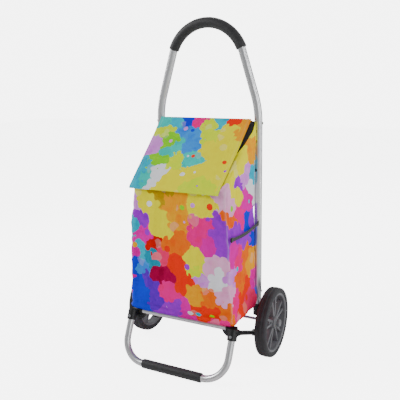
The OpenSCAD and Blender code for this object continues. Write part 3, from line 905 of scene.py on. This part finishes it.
def bag_taper(x, y, z):
    """Widens the bag towards its base and draws it in below the mouth, most of all in front."""
    up = (z - BAG_LOW.z) / (BAG_HIGH.z - BAG_LOW.z)
    spread = BASE_SPREAD * smooth_step(0.34, 0.0, up) + (LEFT_SHIFT if x < 0 else RIGHT_SHIFT)
    draw = (DRAW + DRAW_MORE * smooth_step(0.36, 0.74, up)) * smooth_step(0.05, 0.40, up)
    return x * (1 + (spread - draw * front_share(y)) / (BAG_W / 2))


def rim_lift(x, y):
    """Rise of the mouth's edge above its plane: up beside the flap on the right, else down."""
    side = smooth_step(0.128, 0.146, abs(x))
    if x < 0:
        return -LEFT_DROP * side
    return side * (RIM_RISE + RIM_RISE_FRONT * smooth_step(0.120, 0.020, y - BAG_LOW.y))


def left_lean(x):
    """How far the left panel's top edge leans in under the flap."""
    return LEFT_LEAN * smooth_step(-PANEL_X, -0.14, x)


def fold_share(x, y):
    """How far the right panel's top edge is rolled over and tucked in under the flap."""
    return smooth_step(0.030, -0.035, y) * smooth_step(PANEL_X, 0.14, x)


def under_fold(x, y):
    """1 wherever the hem and the lining have to keep clear of the rolled edge, 0 elsewhere."""
    return min(1.0, 4 * fold_share(x, y))


def bag_place(co):
    """Rest place on the bag for a place on the unit cube's surface."""
    half_x, half_y = BAG_W / 2, BAG_D / 2
    x, y = round_corner(co.x * half_x, co.y * half_y, half_x, half_y, BAG_CORNER)
    y += BAG_MID_Y
    row = (co.z + 1) / 2
    top = mouth_height(y) + rim_lift(x, y)
    base = BAG_LOW.z + BAG_BASE_ROUND
    if row < BASE_ROW:
        turn = math.pi / 2 * row / BASE_ROW
        z = base - BAG_BASE_ROUND * math.cos(turn)
        inset = BAG_BASE_ROUND * (1 - math.sin(turn))
    else:
        rise = (row - BASE_ROW) / (1 - BASE_ROW)
        rolled = min(1.0, (row - BASE_ROW) / (FOLD_ROW - BASE_ROW))
        z = base + (top - base) * (rise + (rolled - rise) * fold_share(x, y))
        inset = 0.0
    x *= 1 - inset / half_x
    y = BAG_MID_Y + (y - BAG_MID_Y) * (1 - inset / half_y)
    x = bag_taper(x, y, z)
    if x > PANEL_X:
        tuck = fold_share(x, y) * max(0.0, (row - FOLD_ROW) / (1 - FOLD_ROW))
        x -= FOLD_WIDTH * tuck
        z += (mouth_height(y) + TUCK_LIFT - z) * smooth_step(0.0, 1.0, tuck)
    elif x < -PANEL_X:
        x += left_lean(x) * smooth_step(0.86, 1.0, row)
    return Vector((x, y, z))


def bag_outward(place):
    """Direction away from the bag's upright middle plane, for a place on its side walls."""
    half_x = abs(bag_taper(math.copysign(BAG_W / 2 - BAG_CORNER, place[0]), place[1], place[2]))
    half_y = BAG_D / 2 - BAG_CORNER
    y = place[1] - BAG_MID_Y
    out = Vector((max(0.0, abs(place[0]) - half_x) * (1 if place[0] > 0 else -1),
                  max(0.0, abs(y) - half_y) * (1 if y > 0 else -1), 0.0))
    return out.normalized() if out.length > 1e-9 else Vector((0.0, 0.0, 0.0))


def bag_swell(place, sizes):
    """How far the filled bag's wall stands out: full in the middle, drawn in below the mouth."""
    x, y, z = place
    up = (z - BAG_LOW.z) / (mouth_height(y) - BAG_LOW.z)
    across_front = 1 - min(1.0, abs(x) / (BAG_W / 2)) ** 2
    across_side = 1 - min(1.0, abs(y - BAG_MID_Y) / (BAG_D / 2)) ** 2
    belly = math.sin(math.pi * min(1.0, max(0.0, up)) ** 0.8)
    swell = sizes.bag_bulge * belly * (0.35 + 0.65 * across_front)
    if abs(bag_outward(place).x) > 0.7:
        swell = sizes.bag_bulge * 0.25 * belly * across_side
    return swell


def seam_strength(place):
    """1 on an upright corner seam, 0 a few millimetres away from it."""
    out = bag_outward(place)
    wave = 0.30 * ripple(place, 3.1, 34.0) + 0.12 * ripple(place, 6.3, 110.0)
    if not out.length:
        return math.exp(-(1.0 / SEAM_SHARE) ** 2)
    lean = abs(math.atan2(abs(out.y), abs(out.x)) / (math.pi / 4) - 1 + wave)
    return math.exp(-(lean / SEAM_SHARE) ** 2)


def wall_wrinkles(place, depth):
    """Creases: soft slanting ones, upright folds by the seams and the mouth, and fine ones."""
    x, y, z = place
    up = (z - BAG_LOW.z) / (mouth_height(y) - BAG_LOW.z)
    from_seam = (BAG_W / 2 - abs(x)) + (BAG_D / 2 - abs(y - BAG_MID_Y)) - 0.014
    near_seam = math.exp(-abs(from_seam) / 0.04)
    slant = ripple((x * 0.8 + z * 0.55, y * 0.9, z * 0.5 - x * 0.25), 5.0, 19.0)
    upright = ripple((x, y, z * 0.28), 9.0, 44.0)
    short = ripple((x, y, z * 1.9), 2.0, 36.0)
    fine = ripple((x, y, z * 1.5), 11.0, 82.0)
    top = smooth_step(0.55, 1.0, up)
    low = smooth_step(0.22, 0.0, up)
    return depth * (0.42 * slant + (0.12 + 0.55 * near_seam + 0.25 * top) * upright
                    + (0.10 + 0.30 * near_seam + 0.40 * low) * short
                    + (0.05 + 0.14 * near_seam) * fine)


def keep_clear(co):
    """Holds the bag's wall off the legs behind it and the cross tube under it."""
    co.y = min(co.y, BAG_HIGH.y - 0.0006)
    co.z = max(co.z, BAG_LOW.z + 0.0003)
    co.x = max(-BAG_W / 2 - LEFT_ROOM, min(BAG_W / 2 + RIGHT_ROOM, co.x))
    return co


def bag_inks():
    """The print's inks at their places on the bag's four walls, in metres."""
    front_h = mouth_height(BAG_LOW.y) - BAG_LOW.z
    side_h = BAG_HIGH.z - BAG_LOW.z
    inks = []
    for ink, across, up in FRONT_INKS:
        spot = ((across / 100 - 0.5) * BAG_W, BAG_LOW.y, BAG_LOW.z + up / 100 * front_h)
        inks.append((ink, spot))
    for ink, across, up in SIDE_INKS:
        spot = (BAG_W / 2, BAG_LOW.y + across / 100 * BAG_D, BAG_LOW.z + up / 100 * side_h)
        inks.append((ink, spot))
    for ink, across, up in SIDE_INKS[::2]:
        spot = (-BAG_W / 2, BAG_HIGH.y - across / 100 * BAG_D, BAG_LOW.z + up / 100 * side_h)
        inks.append((ink, spot))
    for ink, across, up in FRONT_INKS[1::3]:
        spot = ((0.5 - across / 100) * BAG_W, BAG_HIGH.y, BAG_LOW.z + up / 100 * side_h)
        inks.append((ink, spot))
    return inks


def shorten_with_bag(piece):
    """Gives a piece a mesh of its own."""
    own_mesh(piece)


class TROLLEY_OT_bag(bpy.types.Operator):
    """Makes the bag: a filled, creased shell of printed cloth with its black lining."""

    bl_idname = "trolley.bag"
    bl_label = "Bag"

    def execute(self, context):
        sizes = context.scene.trolley_sizes
        shell = primitive("bag_shell", "cube", size=2.0)
        open_mesh(shell, lambda co: co.z > 0.5)
        bpy.ops.mesh.delete(type="ONLY_FACE")
        bpy.ops.mesh.select_all(action="SELECT")
        bpy.ops.mesh.subdivide(number_cuts=43)
        close_mesh()
        reshape(shell, bag_place)
        tidy(shell, 60.0)
        write_attribute(shell, "cloth", places(shell), vector=True)

        def swollen(co):
            return co + bag_outward(co) * bag_swell(co, sizes)

        reshape(shell, swollen)

        def hold(co):
            top = smooth_step(0.03, 0.004, mouth_height(co.y) - co.z)
            base = smooth_step(0.03, 0.012, co.z - BAG_LOW.z)
            back = 0.5 if co.y > BAG_HIGH.y - 0.003 else 0.0
            return max(top, base, back, 0.35 * seam_strength(co))

        simulate(shell, hold, slack=0.022, pressure=0.35, cap=0.007)
        modify(shell, "SUBSURF", levels=1, render_levels=1)

        rest = read_attribute(shell, "cloth", vector=True)
        seams = [seam_strength(place) if place[2] > BAG_LOW.z + BAG_BASE_ROUND else 0.0
                 for place in rest]
        base_seam = [math.exp(-((place[2] - BAG_LOW.z - BAG_BASE_ROUND) / 0.0018) ** 2)
                     for place in rest]
        # Painted highlight: a pale, wavy line along each upright corner seam, where light catches
        # the seam's raised ridge
        write_attribute(shell, "stitch_and_seam_highlight", [
            seam * (0.55 + 0.45 * ripple(place, 7.7, 60.0)) for seam, place in zip(seams, rest)])
        for vertex, place, seam, low in zip(shell.data.vertices, rest, seams, base_seam):
            out = bag_outward(place)
            lift = wall_wrinkles(place, sizes.wrinkle_depth) + 0.0013 * seam - 0.0007 * low
            vertex.co = keep_clear(vertex.co + out * lift)
        shell.data.update()

        lining = copy_of(shell, Matrix.Identity(4), "bag_lining")
        modify(lining, "DECIMATE", decimate_type="UNSUBDIV", iterations=2)
        modify(lining, "DISPLACE", strength=-(sizes.cloth_thickness + LINING_GAP), mid_level=0.0)

        def below_fold(co):
            near_top = smooth_step(-0.016, -0.006, co.z - mouth_height(co.y))
            return co - Vector((0.0, 0.0, 0.005 * near_top * under_fold(co.x, co.y)))

        reshape(lining, below_fold)
        modify(lining, "SOLIDIFY", thickness=LINING_THICK, offset=-1.0)
        modify(shell, "SOLIDIFY", thickness=sizes.cloth_thickness * 0.7, offset=-1.0)
        for piece in (shell, lining):
            shade(piece, 50)
        hand_over(shell, printed_cloth("bag_print", bag_inks(), 0.34), "frame", "print_fabric",
                  "bag_body")
        hand_over(lining, black_cloth("lining_cloth", (0.016, 0.016, 0.018), 0.0012), "frame",
                  "black_lining")
        for piece in (shell, lining):
            shorten_with_bag(piece)
        return {"FINISHED"}


def around(share, half_x, half_y, radius):
    """Place and outward direction at a share of the way around a rounded rectangle."""
    straight_x, straight_y = 2 * (half_x - radius), 2 * (half_y - radius)
    bend = math.pi / 2 * radius
    runs = [straight_y / 2, bend, straight_x, bend, straight_y, bend, straight_x, bend,
            straight_y / 2]
    s = (share % 1.0) * sum(runs)
    heading, at = 0, 0
    while s > runs[at] and at < len(runs) - 1:
        s -= runs[at]
        heading += at % 2
        at += 1
    turn = heading * math.pi / 2
    corner = [(1, 1), (-1, 1), (-1, -1), (1, -1)]
    if at % 2:
        cx, cy = corner[heading % 4]
        a = turn + s / radius
        centre = (cx * (half_x - radius), cy * (half_y - radius))
        return (centre[0] + radius * math.cos(a), centre[1] + radius * math.sin(a)), (
            math.cos(a), math.sin(a))
    starts = {0: (half_x, 0.0), 2: (half_x - radius, half_y), 4: (-half_x, half_y - radius),
              6: (-half_x + radius, -half_y), 8: (half_x, -half_y + radius)}
    x, y = starts[at]
    direction = (-math.sin(turn), math.cos(turn))
    return (x + direction[0] * s, y + direction[1] * s), (math.cos(turn), math.sin(turn))


HEM_WIDTH = 0.019
HEM_HALF_THICK = 0.0011
HEM_INSET = 0.0034


class TROLLEY_OT_collar(bpy.types.Operator):
    """Makes the black hem that lines the bag's sloping mouth."""

    bl_idname = "trolley.collar"
    bl_label = "Collar"

    def execute(self, context):
        ring = 0.3
        hem = primitive("mouth_hem", "torus", major_radius=1.0, minor_radius=ring,
                        major_segments=240, minor_segments=14)

        def lay(co):
            share = math.atan2(co.y, co.x) / (2 * math.pi) % 1.0
            out = (math.hypot(co.x, co.y) - 1.0) / ring
            up = co.z / ring
            spot, away = around(share, BAG_W / 2 - HEM_INSET, BAG_D / 2 - HEM_INSET,
                                BAG_CORNER - 0.003)
            inward = HEM_WIDTH * (1 - out) / 2
            y = spot[1] - away[1] * inward + BAG_MID_Y
            x = bag_taper(spot[0], y, mouth_height(y)) - away[0] * inward + left_lean(spot[0])
            turned_down = smooth_step(0.010, HEM_WIDTH, inward)
            z = mouth_height(y) - 0.0012 + up * HEM_HALF_THICK - 0.006 * turned_down
            z -= 0.0040 * under_fold(spot[0], y)
            x -= 0.0045 * under_fold(spot[0], y)
            z += 0.0005 * ripple((x, y, 0.0), 4.0, 40.0)
            return Vector((x, y, z))

        reshape(hem, lay)
        tidy(hem, 60.0)
        hand_over(hem, black_cloth("hem_cloth", (0.012, 0.012, 0.013), 0.0012), "frame",
                  "black_lining", "bag_collar")
        shorten_with_bag(hem)
        return {"FINISHED"}


def flap_point(across, down, lift):
    """Place on the flap: across from -1 to 1, down from the hinge in metres, lift off its plane."""
    share = min(1.0, down / FLAP_LEN)
    half = FLAP_BACK + (FLAP_FRONT - FLAP_BACK) * share
    drop_angle = math.pi / 2 - SLOPE
    bend_len = LIP_BEND_R * drop_angle
    flat = FLAP_LEN - LIP_BEND_R * math.tan(drop_angle / 2)
    x = across * half - FLAP_SKEW * share ** 1.5
    if down <= flat:
        return Vector((x, 0, 0)) + HINGE + SLOPE_DOWN * down + SLOPE_OUT * lift
    turn = min(1.0, (down - flat) / bend_len) * drop_angle
    bend_at = HINGE + SLOPE_DOWN * flat - SLOPE_OUT * LIP_BEND_R
    out = Vector((0, -math.sin(SLOPE + turn), math.cos(SLOPE + turn)))
    along = Vector((0, -math.cos(SLOPE + turn), -math.sin(SLOPE + turn)))
    rest = max(0.0, down - flat - bend_len)
    return Vector((x, 0, 0)) + bend_at + out * (LIP_BEND_R + lift) + along * rest


def flap_inks():
    """The print's inks at their places on the flap's plane, in metres."""
    inks = []
    for ink, across, up in FLAP_INKS:
        share = 1 - up / 100
        half = FLAP_BACK + (FLAP_FRONT - FLAP_BACK) * share
        x = (across / 50 - 1) * half - FLAP_SKEW * share
        inks.append((ink, tuple(HINGE + SLOPE_DOWN * share * FLAP_LEN + Vector((x, 0, 0)))))
    return inks


class TROLLEY_OT_flap(bpy.types.Operator):
    """Makes the flap: one printed sheet with a lip over its front edge, and its black lining."""

    bl_idname = "trolley.flap"
    bl_label = "Flap"

    def execute(self, context):
        sizes = context.scene.trolley_sizes
        flap = primitive("flap_sheet", "grid", x_subdivisions=72, y_subdivisions=76, size=2.0)
        full = FLAP_LEN + FLAP_LIP
        across = [vertex.co.x for vertex in flap.data.vertices]
        downs = [(1 - vertex.co.y) / 2 * full for vertex in flap.data.vertices]
        flat = []
        for vertex, side, down in zip(flap.data.vertices, across, downs):
            vertex.co = flap_point(side, down, FLAP_LIFT)
            plane = HINGE + SLOPE_DOWN * down
            flat.append((vertex.co.x, plane.y, plane.z))
        flap.data.update()
        write_attribute(flap, "cloth", flat, vector=True)
        hems = []
        for side, down in zip(across, downs):
            to_side = (1 - abs(side)) * FLAP_BACK
            line = math.exp(-((to_side - HEM_STITCH_IN) / 0.0012) ** 2)
            hems.append(0.25 * line if down < FLAP_LEN else 0.0)
        tidy(flap, 60.0)
        write_attribute(flap, "stitch_and_seam_highlight", hems)

        def hold(co):
            side = smooth_step(0.020, 0.004, FLAP_FRONT - abs(co.x))
            ends = max(smooth_step(0.012, 0.002, HINGE.y - co.y),
                       smooth_step(0.016, 0.004, co.y - FLAP_LOW.y))
            return max(side, ends)

        simulate(flap, hold, slack=0.006, pressure=0.0, cap=sizes.flap_sag)
        for vertex, side, down in zip(flap.data.vertices, across, downs):
            ends = smooth_step(0.0, 0.03, down) * smooth_step(0.0, 0.02, FLAP_LEN - down)
            inside = (1 - side ** 4) * ends
            spot = (vertex.co.x, down, 0.0)
            wave = ripple(spot, 6.0, 16.0) + 0.4 * ripple(spot, 8.0, 42.0)
            edge = abs(side) ** 6 * 0.0008 * ripple((0.0, down, side), 12.0, 22.0)
            vertex.co += SLOPE_OUT * (0.0009 * wave * inside + edge - 0.0012 * inside)
            lift = (vertex.co - HINGE).dot(SLOPE_OUT)
            if down < FLAP_LEN - 0.01 and lift < -0.0004 and abs(vertex.co.x) > 0.10:
                vertex.co += SLOPE_OUT * (-0.0004 - lift)
        flap.data.update()
        lining = copy_of(flap, Matrix.Identity(4), "flap_underside")
        modify(flap, "SOLIDIFY", thickness=sizes.cloth_thickness * 0.55, offset=-1.0)
        modify(lining, "DISPLACE", strength=-(sizes.cloth_thickness * 0.55 + 0.0002),
               mid_level=0.0)
        modify(lining, "SOLIDIFY", thickness=LINING_THICK, offset=-1.0)
        for piece in (flap, lining):
            shade(piece, 50)
        hand_over(flap, printed_cloth("flap_print", flap_inks(), 0.42, 1.3), "flap",
                  "print_fabric_flap", "bag_flap")
        hand_over(lining, black_cloth("flap_lining_cloth", (0.016, 0.016, 0.018), 0.0012), "flap",
                  "black_lining", "flap_lining")
        for piece in (flap, lining):
            shorten_with_bag(piece)
        return {"FINISHED"}


class TROLLEY_OT_hanging_sleeve(bpy.types.Operator):
    """Makes the cloth tunnel that hangs the bag's back edge on the bar between the legs."""

    bl_idname = "trolley.hanging_sleeve"
    bl_label = "Hanging sleeve"

    def execute(self, context):
        low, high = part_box("bag_hanging_sleeve")
        bar = (BAR_LOW + BAR_HIGH) / 2
        radius = high.y - bar.y - 0.0004
        half = (high.x - low.x) / 2
        tunnel = primitive("hanging_sleeve", "cylinder", vertices=40, radius=1.0, depth=2.0,
                           end_fill_type="NOTHING")
        open_mesh(tunnel)
        bpy.ops.mesh.subdivide(number_cuts=1)
        close_mesh()
        front = BAG_HIGH.y + 0.0004 - bar.y

        def lay(co):
            a = math.atan2(co.y, co.x)
            y, z = radius * math.cos(a), radius * math.sin(a)
            if y < 0:
                pull = min(1.0, -y / radius)
                y = front * (1 - (1 - pull) ** 1.5)
            return Vector((co.z * half, bar.y + y, bar.z + z))

        modify(tunnel, "SUBSURF", levels=1, render_levels=1, subdivision_type="SIMPLE")
        open_mesh(tunnel)
        for i in range(1, 24):
            bpy.ops.mesh.select_all(action="SELECT")
            bpy.ops.mesh.bisect(plane_co=(0, 0, -1 + i / 12), plane_no=(0, 0, 1))
        close_mesh()
        reshape(tunnel, lay)
        tidy(tunnel, 60.0)
        rest = places(tunnel)
        write_attribute(tunnel, "cloth", rest, vector=True)
        write_attribute(tunnel, "stitch_and_seam_highlight", [
            0.6 * math.exp(-((place[2] - bar.z + radius * 0.8) / 0.0012) ** 2) for place in rest])

        def gather(co):
            out = Vector((0, co.y - bar.y, co.z - bar.z)).normalized()
            return co - out * (0.0006 + 0.0006 * ripple(co, 14.0, 60.0))

        reshape(tunnel, gather)
        modify(tunnel, "SOLIDIFY", thickness=0.0012, offset=-1.0)
        inks = [(ink, (spot[0], bar.y, bar.z + radius)) for ink, spot in flap_inks()
                if spot[2] > HINGE.z - 0.03]
        hand_over(tunnel, printed_cloth("sleeve_print", inks, 0.3, 1.3), "frame", "print_fabric",
                  "bag_hanging_sleeve")
        return {"FINISHED"}


# The board is this much smaller than its CAD box, to lie inside the bag's rounded bottom edge
BOARD_SLACK = (0.007, 0.007, 0.0)


class TROLLEY_OT_base_board(bpy.types.Operator):
    """Makes the cloth-covered board in the bag's base."""

    bl_idname = "trolley.base_board"
    bl_label = "Base board"

    def execute(self, context):
        low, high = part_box("bag_base_board")
        board = primitive("base_board", "cube", size=1.0)
        size, middle = high - low - Vector(BOARD_SLACK), (high + low) / 2
        reshape(board, lambda co: middle + co * size)
        modify(board, "BEVEL", width=0.0012, segments=3, limit_method="ANGLE")
        tidy(board)
        hand_over(board, black_cloth("board_cloth", (0.020, 0.020, 0.022), 0.0014), "frame",
                  "base_board", "bag_base_board")
        shorten_with_bag(board)
        return {"FINISHED"}


STRAP_STAND = 0.0042
STRAP_DROP = 0.008
STRAP_SAG = 0.006
STRAP_WIDTH = 0.0085
STRAP_THICK = 0.0016
TAB = Vector((0.0026, 0.010, 0.013))


def strap_stand(y, z):
    """X of the side strap's middle, which lies on the bag's right wall and its round corner."""
    past = max(0.0, BAG_LOW.y + BAG_CORNER - y)
    corner = BAG_CORNER - math.sqrt(max(0.0, BAG_CORNER ** 2 - past ** 2))
    return bag_taper(BAG_W / 2, y, z) + STRAP_STAND - corner


class TROLLEY_OT_side_strap(bpy.types.Operator):
    """Makes the elastic strap on the bag's right side, with the stitched tabs at its ends."""

    bl_idname = "trolley.side_strap"
    bl_label = "Side strap"

    def execute(self, context):
        low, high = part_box("bag_side_strap")
        middle = (low.z + high.z) / 2
        band = primitive("strap_band", "cube", size=1.0)
        open_mesh(band)
        bpy.ops.mesh.subdivide(number_cuts=31)
        close_mesh()
        first, last = BAG_LOW.y + 0.008, BAG_HIGH.y + 0.003

        def lay(co):
            along = co.y + 0.5
            y = first + (last - first) * along
            sag = STRAP_SAG * math.sin(math.pi * along) ** 1.2
            z = middle - STRAP_DROP + 0.002 * along - sag + co.z * STRAP_WIDTH
            rib = 0.00025 * math.cos(co.z * math.pi * 8)
            return Vector((strap_stand(y, z) + co.x * (STRAP_THICK + rib), y, z))

        reshape(band, lay)
        pieces = [band]
        for share in (0.0, 1.0):
            tab = primitive("strap_tab", "cube", size=1.0)
            y = first + (last - first) * share + (0.5 - share) * TAB.y
            z = middle - STRAP_DROP + 0.002 * share
            at = Vector((strap_stand(y, z), y, z))
            reshape(tab, lambda co, at=at: at + co * TAB)
            modify(tab, "BEVEL", width=0.0007, segments=2, limit_method="ANGLE")
            pieces.append(tab)
        strap = joined("side_strap", pieces)
        shade(strap, 40)
        hand_over(strap, black_cloth("elastic", (0.012, 0.012, 0.013), 0.0011), "frame",
                  "black_webbing", "bag_side_strap")
        shorten_with_bag(strap)
        return {"FINISHED"}


CORD_DIAMETER = 0.0018
# Name, place along Y, length and sideways sway
CORD_ENDS = (("cord_end_front", 0.046, 0.052, 0.004), ("cord_end_back", 0.054, 0.068, -0.005))


def hanging_cord(name, top, length, sway):
    """A limp cord end that hangs down the bag's right side; returns it and its centre line."""
    path = []
    steps = 24
    for i in range(steps + 1):
        down = i / steps
        path.append(Vector((top.x, top.y + sway * math.sin(2.6 * down), top.z - length * down)))
    real = sum((b - a).length for a, b in zip(path, path[1:]))
    path = [top + (point - top) * (length / real) for point in path]
    cord = primitive(name, "cylinder", vertices=10, radius=1.0, depth=1.0, end_fill_type="NGON")
    for i in range(1, steps):
        open_mesh(cord)
        bpy.ops.mesh.bisect(plane_co=(0, 0, 0.5 - i / steps), plane_no=(0, 0, 1))
        close_mesh()

    def lay(co):
        at = path[min(steps, max(0, round((0.5 - co.z) * steps)))]
        return at + Vector((co.x, co.y, 0.0)) * (CORD_DIAMETER / 2)

    reshape(cord, lay)
    tidy(cord, 60.0)
    return cord, path


class TROLLEY_OT_cord_ends(bpy.types.Operator):
    """Makes the two thin cord ends that hang from the side strap beside the leg."""

    bl_idname = "trolley.cord_ends"
    bl_label = "Cord ends"

    def execute(self, context):
        low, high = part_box("bag_side_strap")
        braid = black_cloth("cord_braid", (0.012, 0.012, 0.013), 0.0009)
        top_z = (low.z + high.z) / 2 - 0.0125
        for name, y, length, sway in CORD_ENDS:
            top = Vector((bag_taper(BAG_W / 2, y, top_z) + 0.0052, y, top_z))
            cord, path = hanging_cord(name, top, length, sway)
            hand_over(cord, braid, "frame", "black_webbing")
            shorten_with_bag(cord)
        return {"FINISHED"}


# ---------------------------------------------------------------- stage

WORLD_LIGHT = 0.33
PAPER_GLOW = 5.4
CAMERA_AT = Vector((0.7169, -1.3629, 0.8224))
CAMERA_TURN = math.radians(27.2)
CAMERA_DOWN = math.radians(13.4)
CAMERA_ROLL = math.radians(-1.1)
CAMERA_LENS = 51.2
LIT_POINT = (0.0, 0.0, 0.45)
# Name, place, width and height, power in watts
LIGHTS = (
    ("key_light", (-2.1, -1.3, 2.1), (1.1, 1.1), 50.0),
    ("fill_light", (2.4, -1.4, 1.3), (1.0, 2.0), 23.0),
    ("back_light", (0.6, 2.2, 1.9), (1.6, 1.2), 14.0),
    ("tube_light", (1.5, 0.35, 0.9), (0.16, 1.7), 9.0),
    ("edge_light", (-1.6, 0.2, 0.9), (0.12, 1.6), 6.0),
)


def pale_ground(name, colour):
    """Matt paper backdrop with a barely visible mottle."""
    n = Nodes(name)
    cloud = n.noise(n.object_coords(), 3.0, 3.0).outputs["Fac"]
    tint = n.mix(cloud, rgba(tuple(0.985 * c for c in colour)), rgba(colour))
    seen = n.add("LightPath").outputs["Is Camera Ray"]
    return n.set(Base_Color=tint, Roughness=0.9, Specular_IOR_Level=0.1,
                 Emission_Color=(1.0, 1.0, 1.0, 1.0),
                 Emission_Strength=n.math("MULTIPLY", seen, PAPER_GLOW))


def soft_light(name, at, size, power):
    """An area light that faces the trolley's middle."""
    bpy.ops.object.select_all(action="DESELECT")
    bpy.ops.object.light_add(type="AREA", location=at)
    light = bpy.context.object
    light.name = name
    light.data.shape = "RECTANGLE"
    light.data.size, light.data.size_y = size
    light.data.energy = power
    light.rotation_euler = (Vector(at) - Vector(LIT_POINT)).to_track_quat("Z", "Y").to_euler()
    return light


class TROLLEY_OT_stage(bpy.types.Operator):
    """Sets the pale floor, the soft studio lights and the camera."""

    bl_idname = "trolley.stage"
    bl_label = "Stage"

    def execute(self, context):
        floor = primitive("studio_floor", "plane", size=2.0)
        reshape(floor, lambda co: Vector((co.x * 6.0, co.y * 6.0, -0.0002)))
        floor.data.materials.append(pale_ground("studio_paper", (0.90, 0.90, 0.90)))

        world = bpy.data.worlds.new("studio_world")
        bpy.context.scene.world = world
        world.use_nodes = True
        background = world.node_tree.nodes["Background"]
        background.inputs["Color"].default_value = (1.0, 1.0, 1.0, 1.0)
        tree = world.node_tree
        seen = tree.nodes.new("ShaderNodeLightPath").outputs["Is Camera Ray"]
        strength = tree.nodes.new("ShaderNodeMapRange")
        tree.links.new(seen, strength.inputs[0])
        strength.inputs[3].default_value = WORLD_LIGHT
        strength.inputs[4].default_value = PAPER_GLOW + 0.6
        tree.links.new(strength.outputs[0], background.inputs["Strength"])

        lights = [soft_light(*light) for light in LIGHTS]

        bpy.ops.object.select_all(action="DESELECT")
        bpy.ops.object.camera_add(location=CAMERA_AT)
        camera = bpy.context.object
        camera.name = "main_camera"
        camera.data.lens = CAMERA_LENS
        camera.data.sensor_width = 36.0
        back = Vector((math.sin(CAMERA_TURN) * math.cos(CAMERA_DOWN),
                       -math.cos(CAMERA_TURN) * math.cos(CAMERA_DOWN), math.sin(CAMERA_DOWN)))
        level = Vector((math.cos(CAMERA_TURN), math.sin(CAMERA_TURN), 0.0))
        upright = back.cross(level)
        right = level * math.cos(CAMERA_ROLL) + upright * math.sin(CAMERA_ROLL)
        up = upright * math.cos(CAMERA_ROLL) - level * math.sin(CAMERA_ROLL)
        camera.rotation_euler = Matrix((right, up, back)).transposed().to_euler()
        bpy.context.scene.camera = camera
        return {"FINISHED"}


# ---------------------------------------------------------------- add-on

PIECES = (
    TROLLEY_OT_metalwork, TROLLEY_OT_handle_grip, TROLLEY_OT_foot_sleeve, TROLLEY_OT_wheels,
    TROLLEY_OT_bag, TROLLEY_OT_collar, TROLLEY_OT_hanging_sleeve, TROLLEY_OT_base_board,
    TROLLEY_OT_side_strap, TROLLEY_OT_cord_ends, TROLLEY_OT_flap, TROLLEY_OT_stage,
)


class TROLLEY_PT_sidebar(bpy.types.Panel):
    """Sizes, colours and one button for each piece of the trolley."""

    bl_idname = "TROLLEY_PT_sidebar"
    bl_label = "Folding shopping trolley"
    bl_space_type = "VIEW_3D"
    bl_region_type = "UI"
    bl_category = "Trolley"

    def draw(self, context):
        scene = context.scene
        for title, group in (("Sizes", scene.trolley_sizes), ("Colours", scene.trolley_colours)):
            column = self.layout.box().column(align=True)
            column.label(text=title)
            for key in group.bl_rna.properties.keys():
                if key not in ("rna_type", "name"):
                    column.prop(group, key)
        column = self.layout.column(align=True)
        for piece in PIECES:
            column.operator(piece.bl_idname)


CLASSES = (TrolleySizes, TrolleyColours, *PIECES, TROLLEY_PT_sidebar)


def register():
    for kind in CLASSES:
        bpy.utils.register_class(kind)
    bpy.types.Scene.trolley_sizes = bpy.props.PointerProperty(type=TrolleySizes)
    bpy.types.Scene.trolley_colours = bpy.props.PointerProperty(type=TrolleyColours)


def unregister():
    del bpy.types.Scene.trolley_colours
    del bpy.types.Scene.trolley_sizes
    for kind in reversed(CLASSES):
        bpy.utils.unregister_class(kind)


def main():
    register()
    for piece in PIECES:
        family, name = piece.bl_idname.split(".")
        result = getattr(getattr(bpy.ops, family), name)()
        if result != {"FINISHED"}:
            raise RuntimeError("the step " + piece.bl_label + " did not finish")


if __name__ == "__main__":
    main()
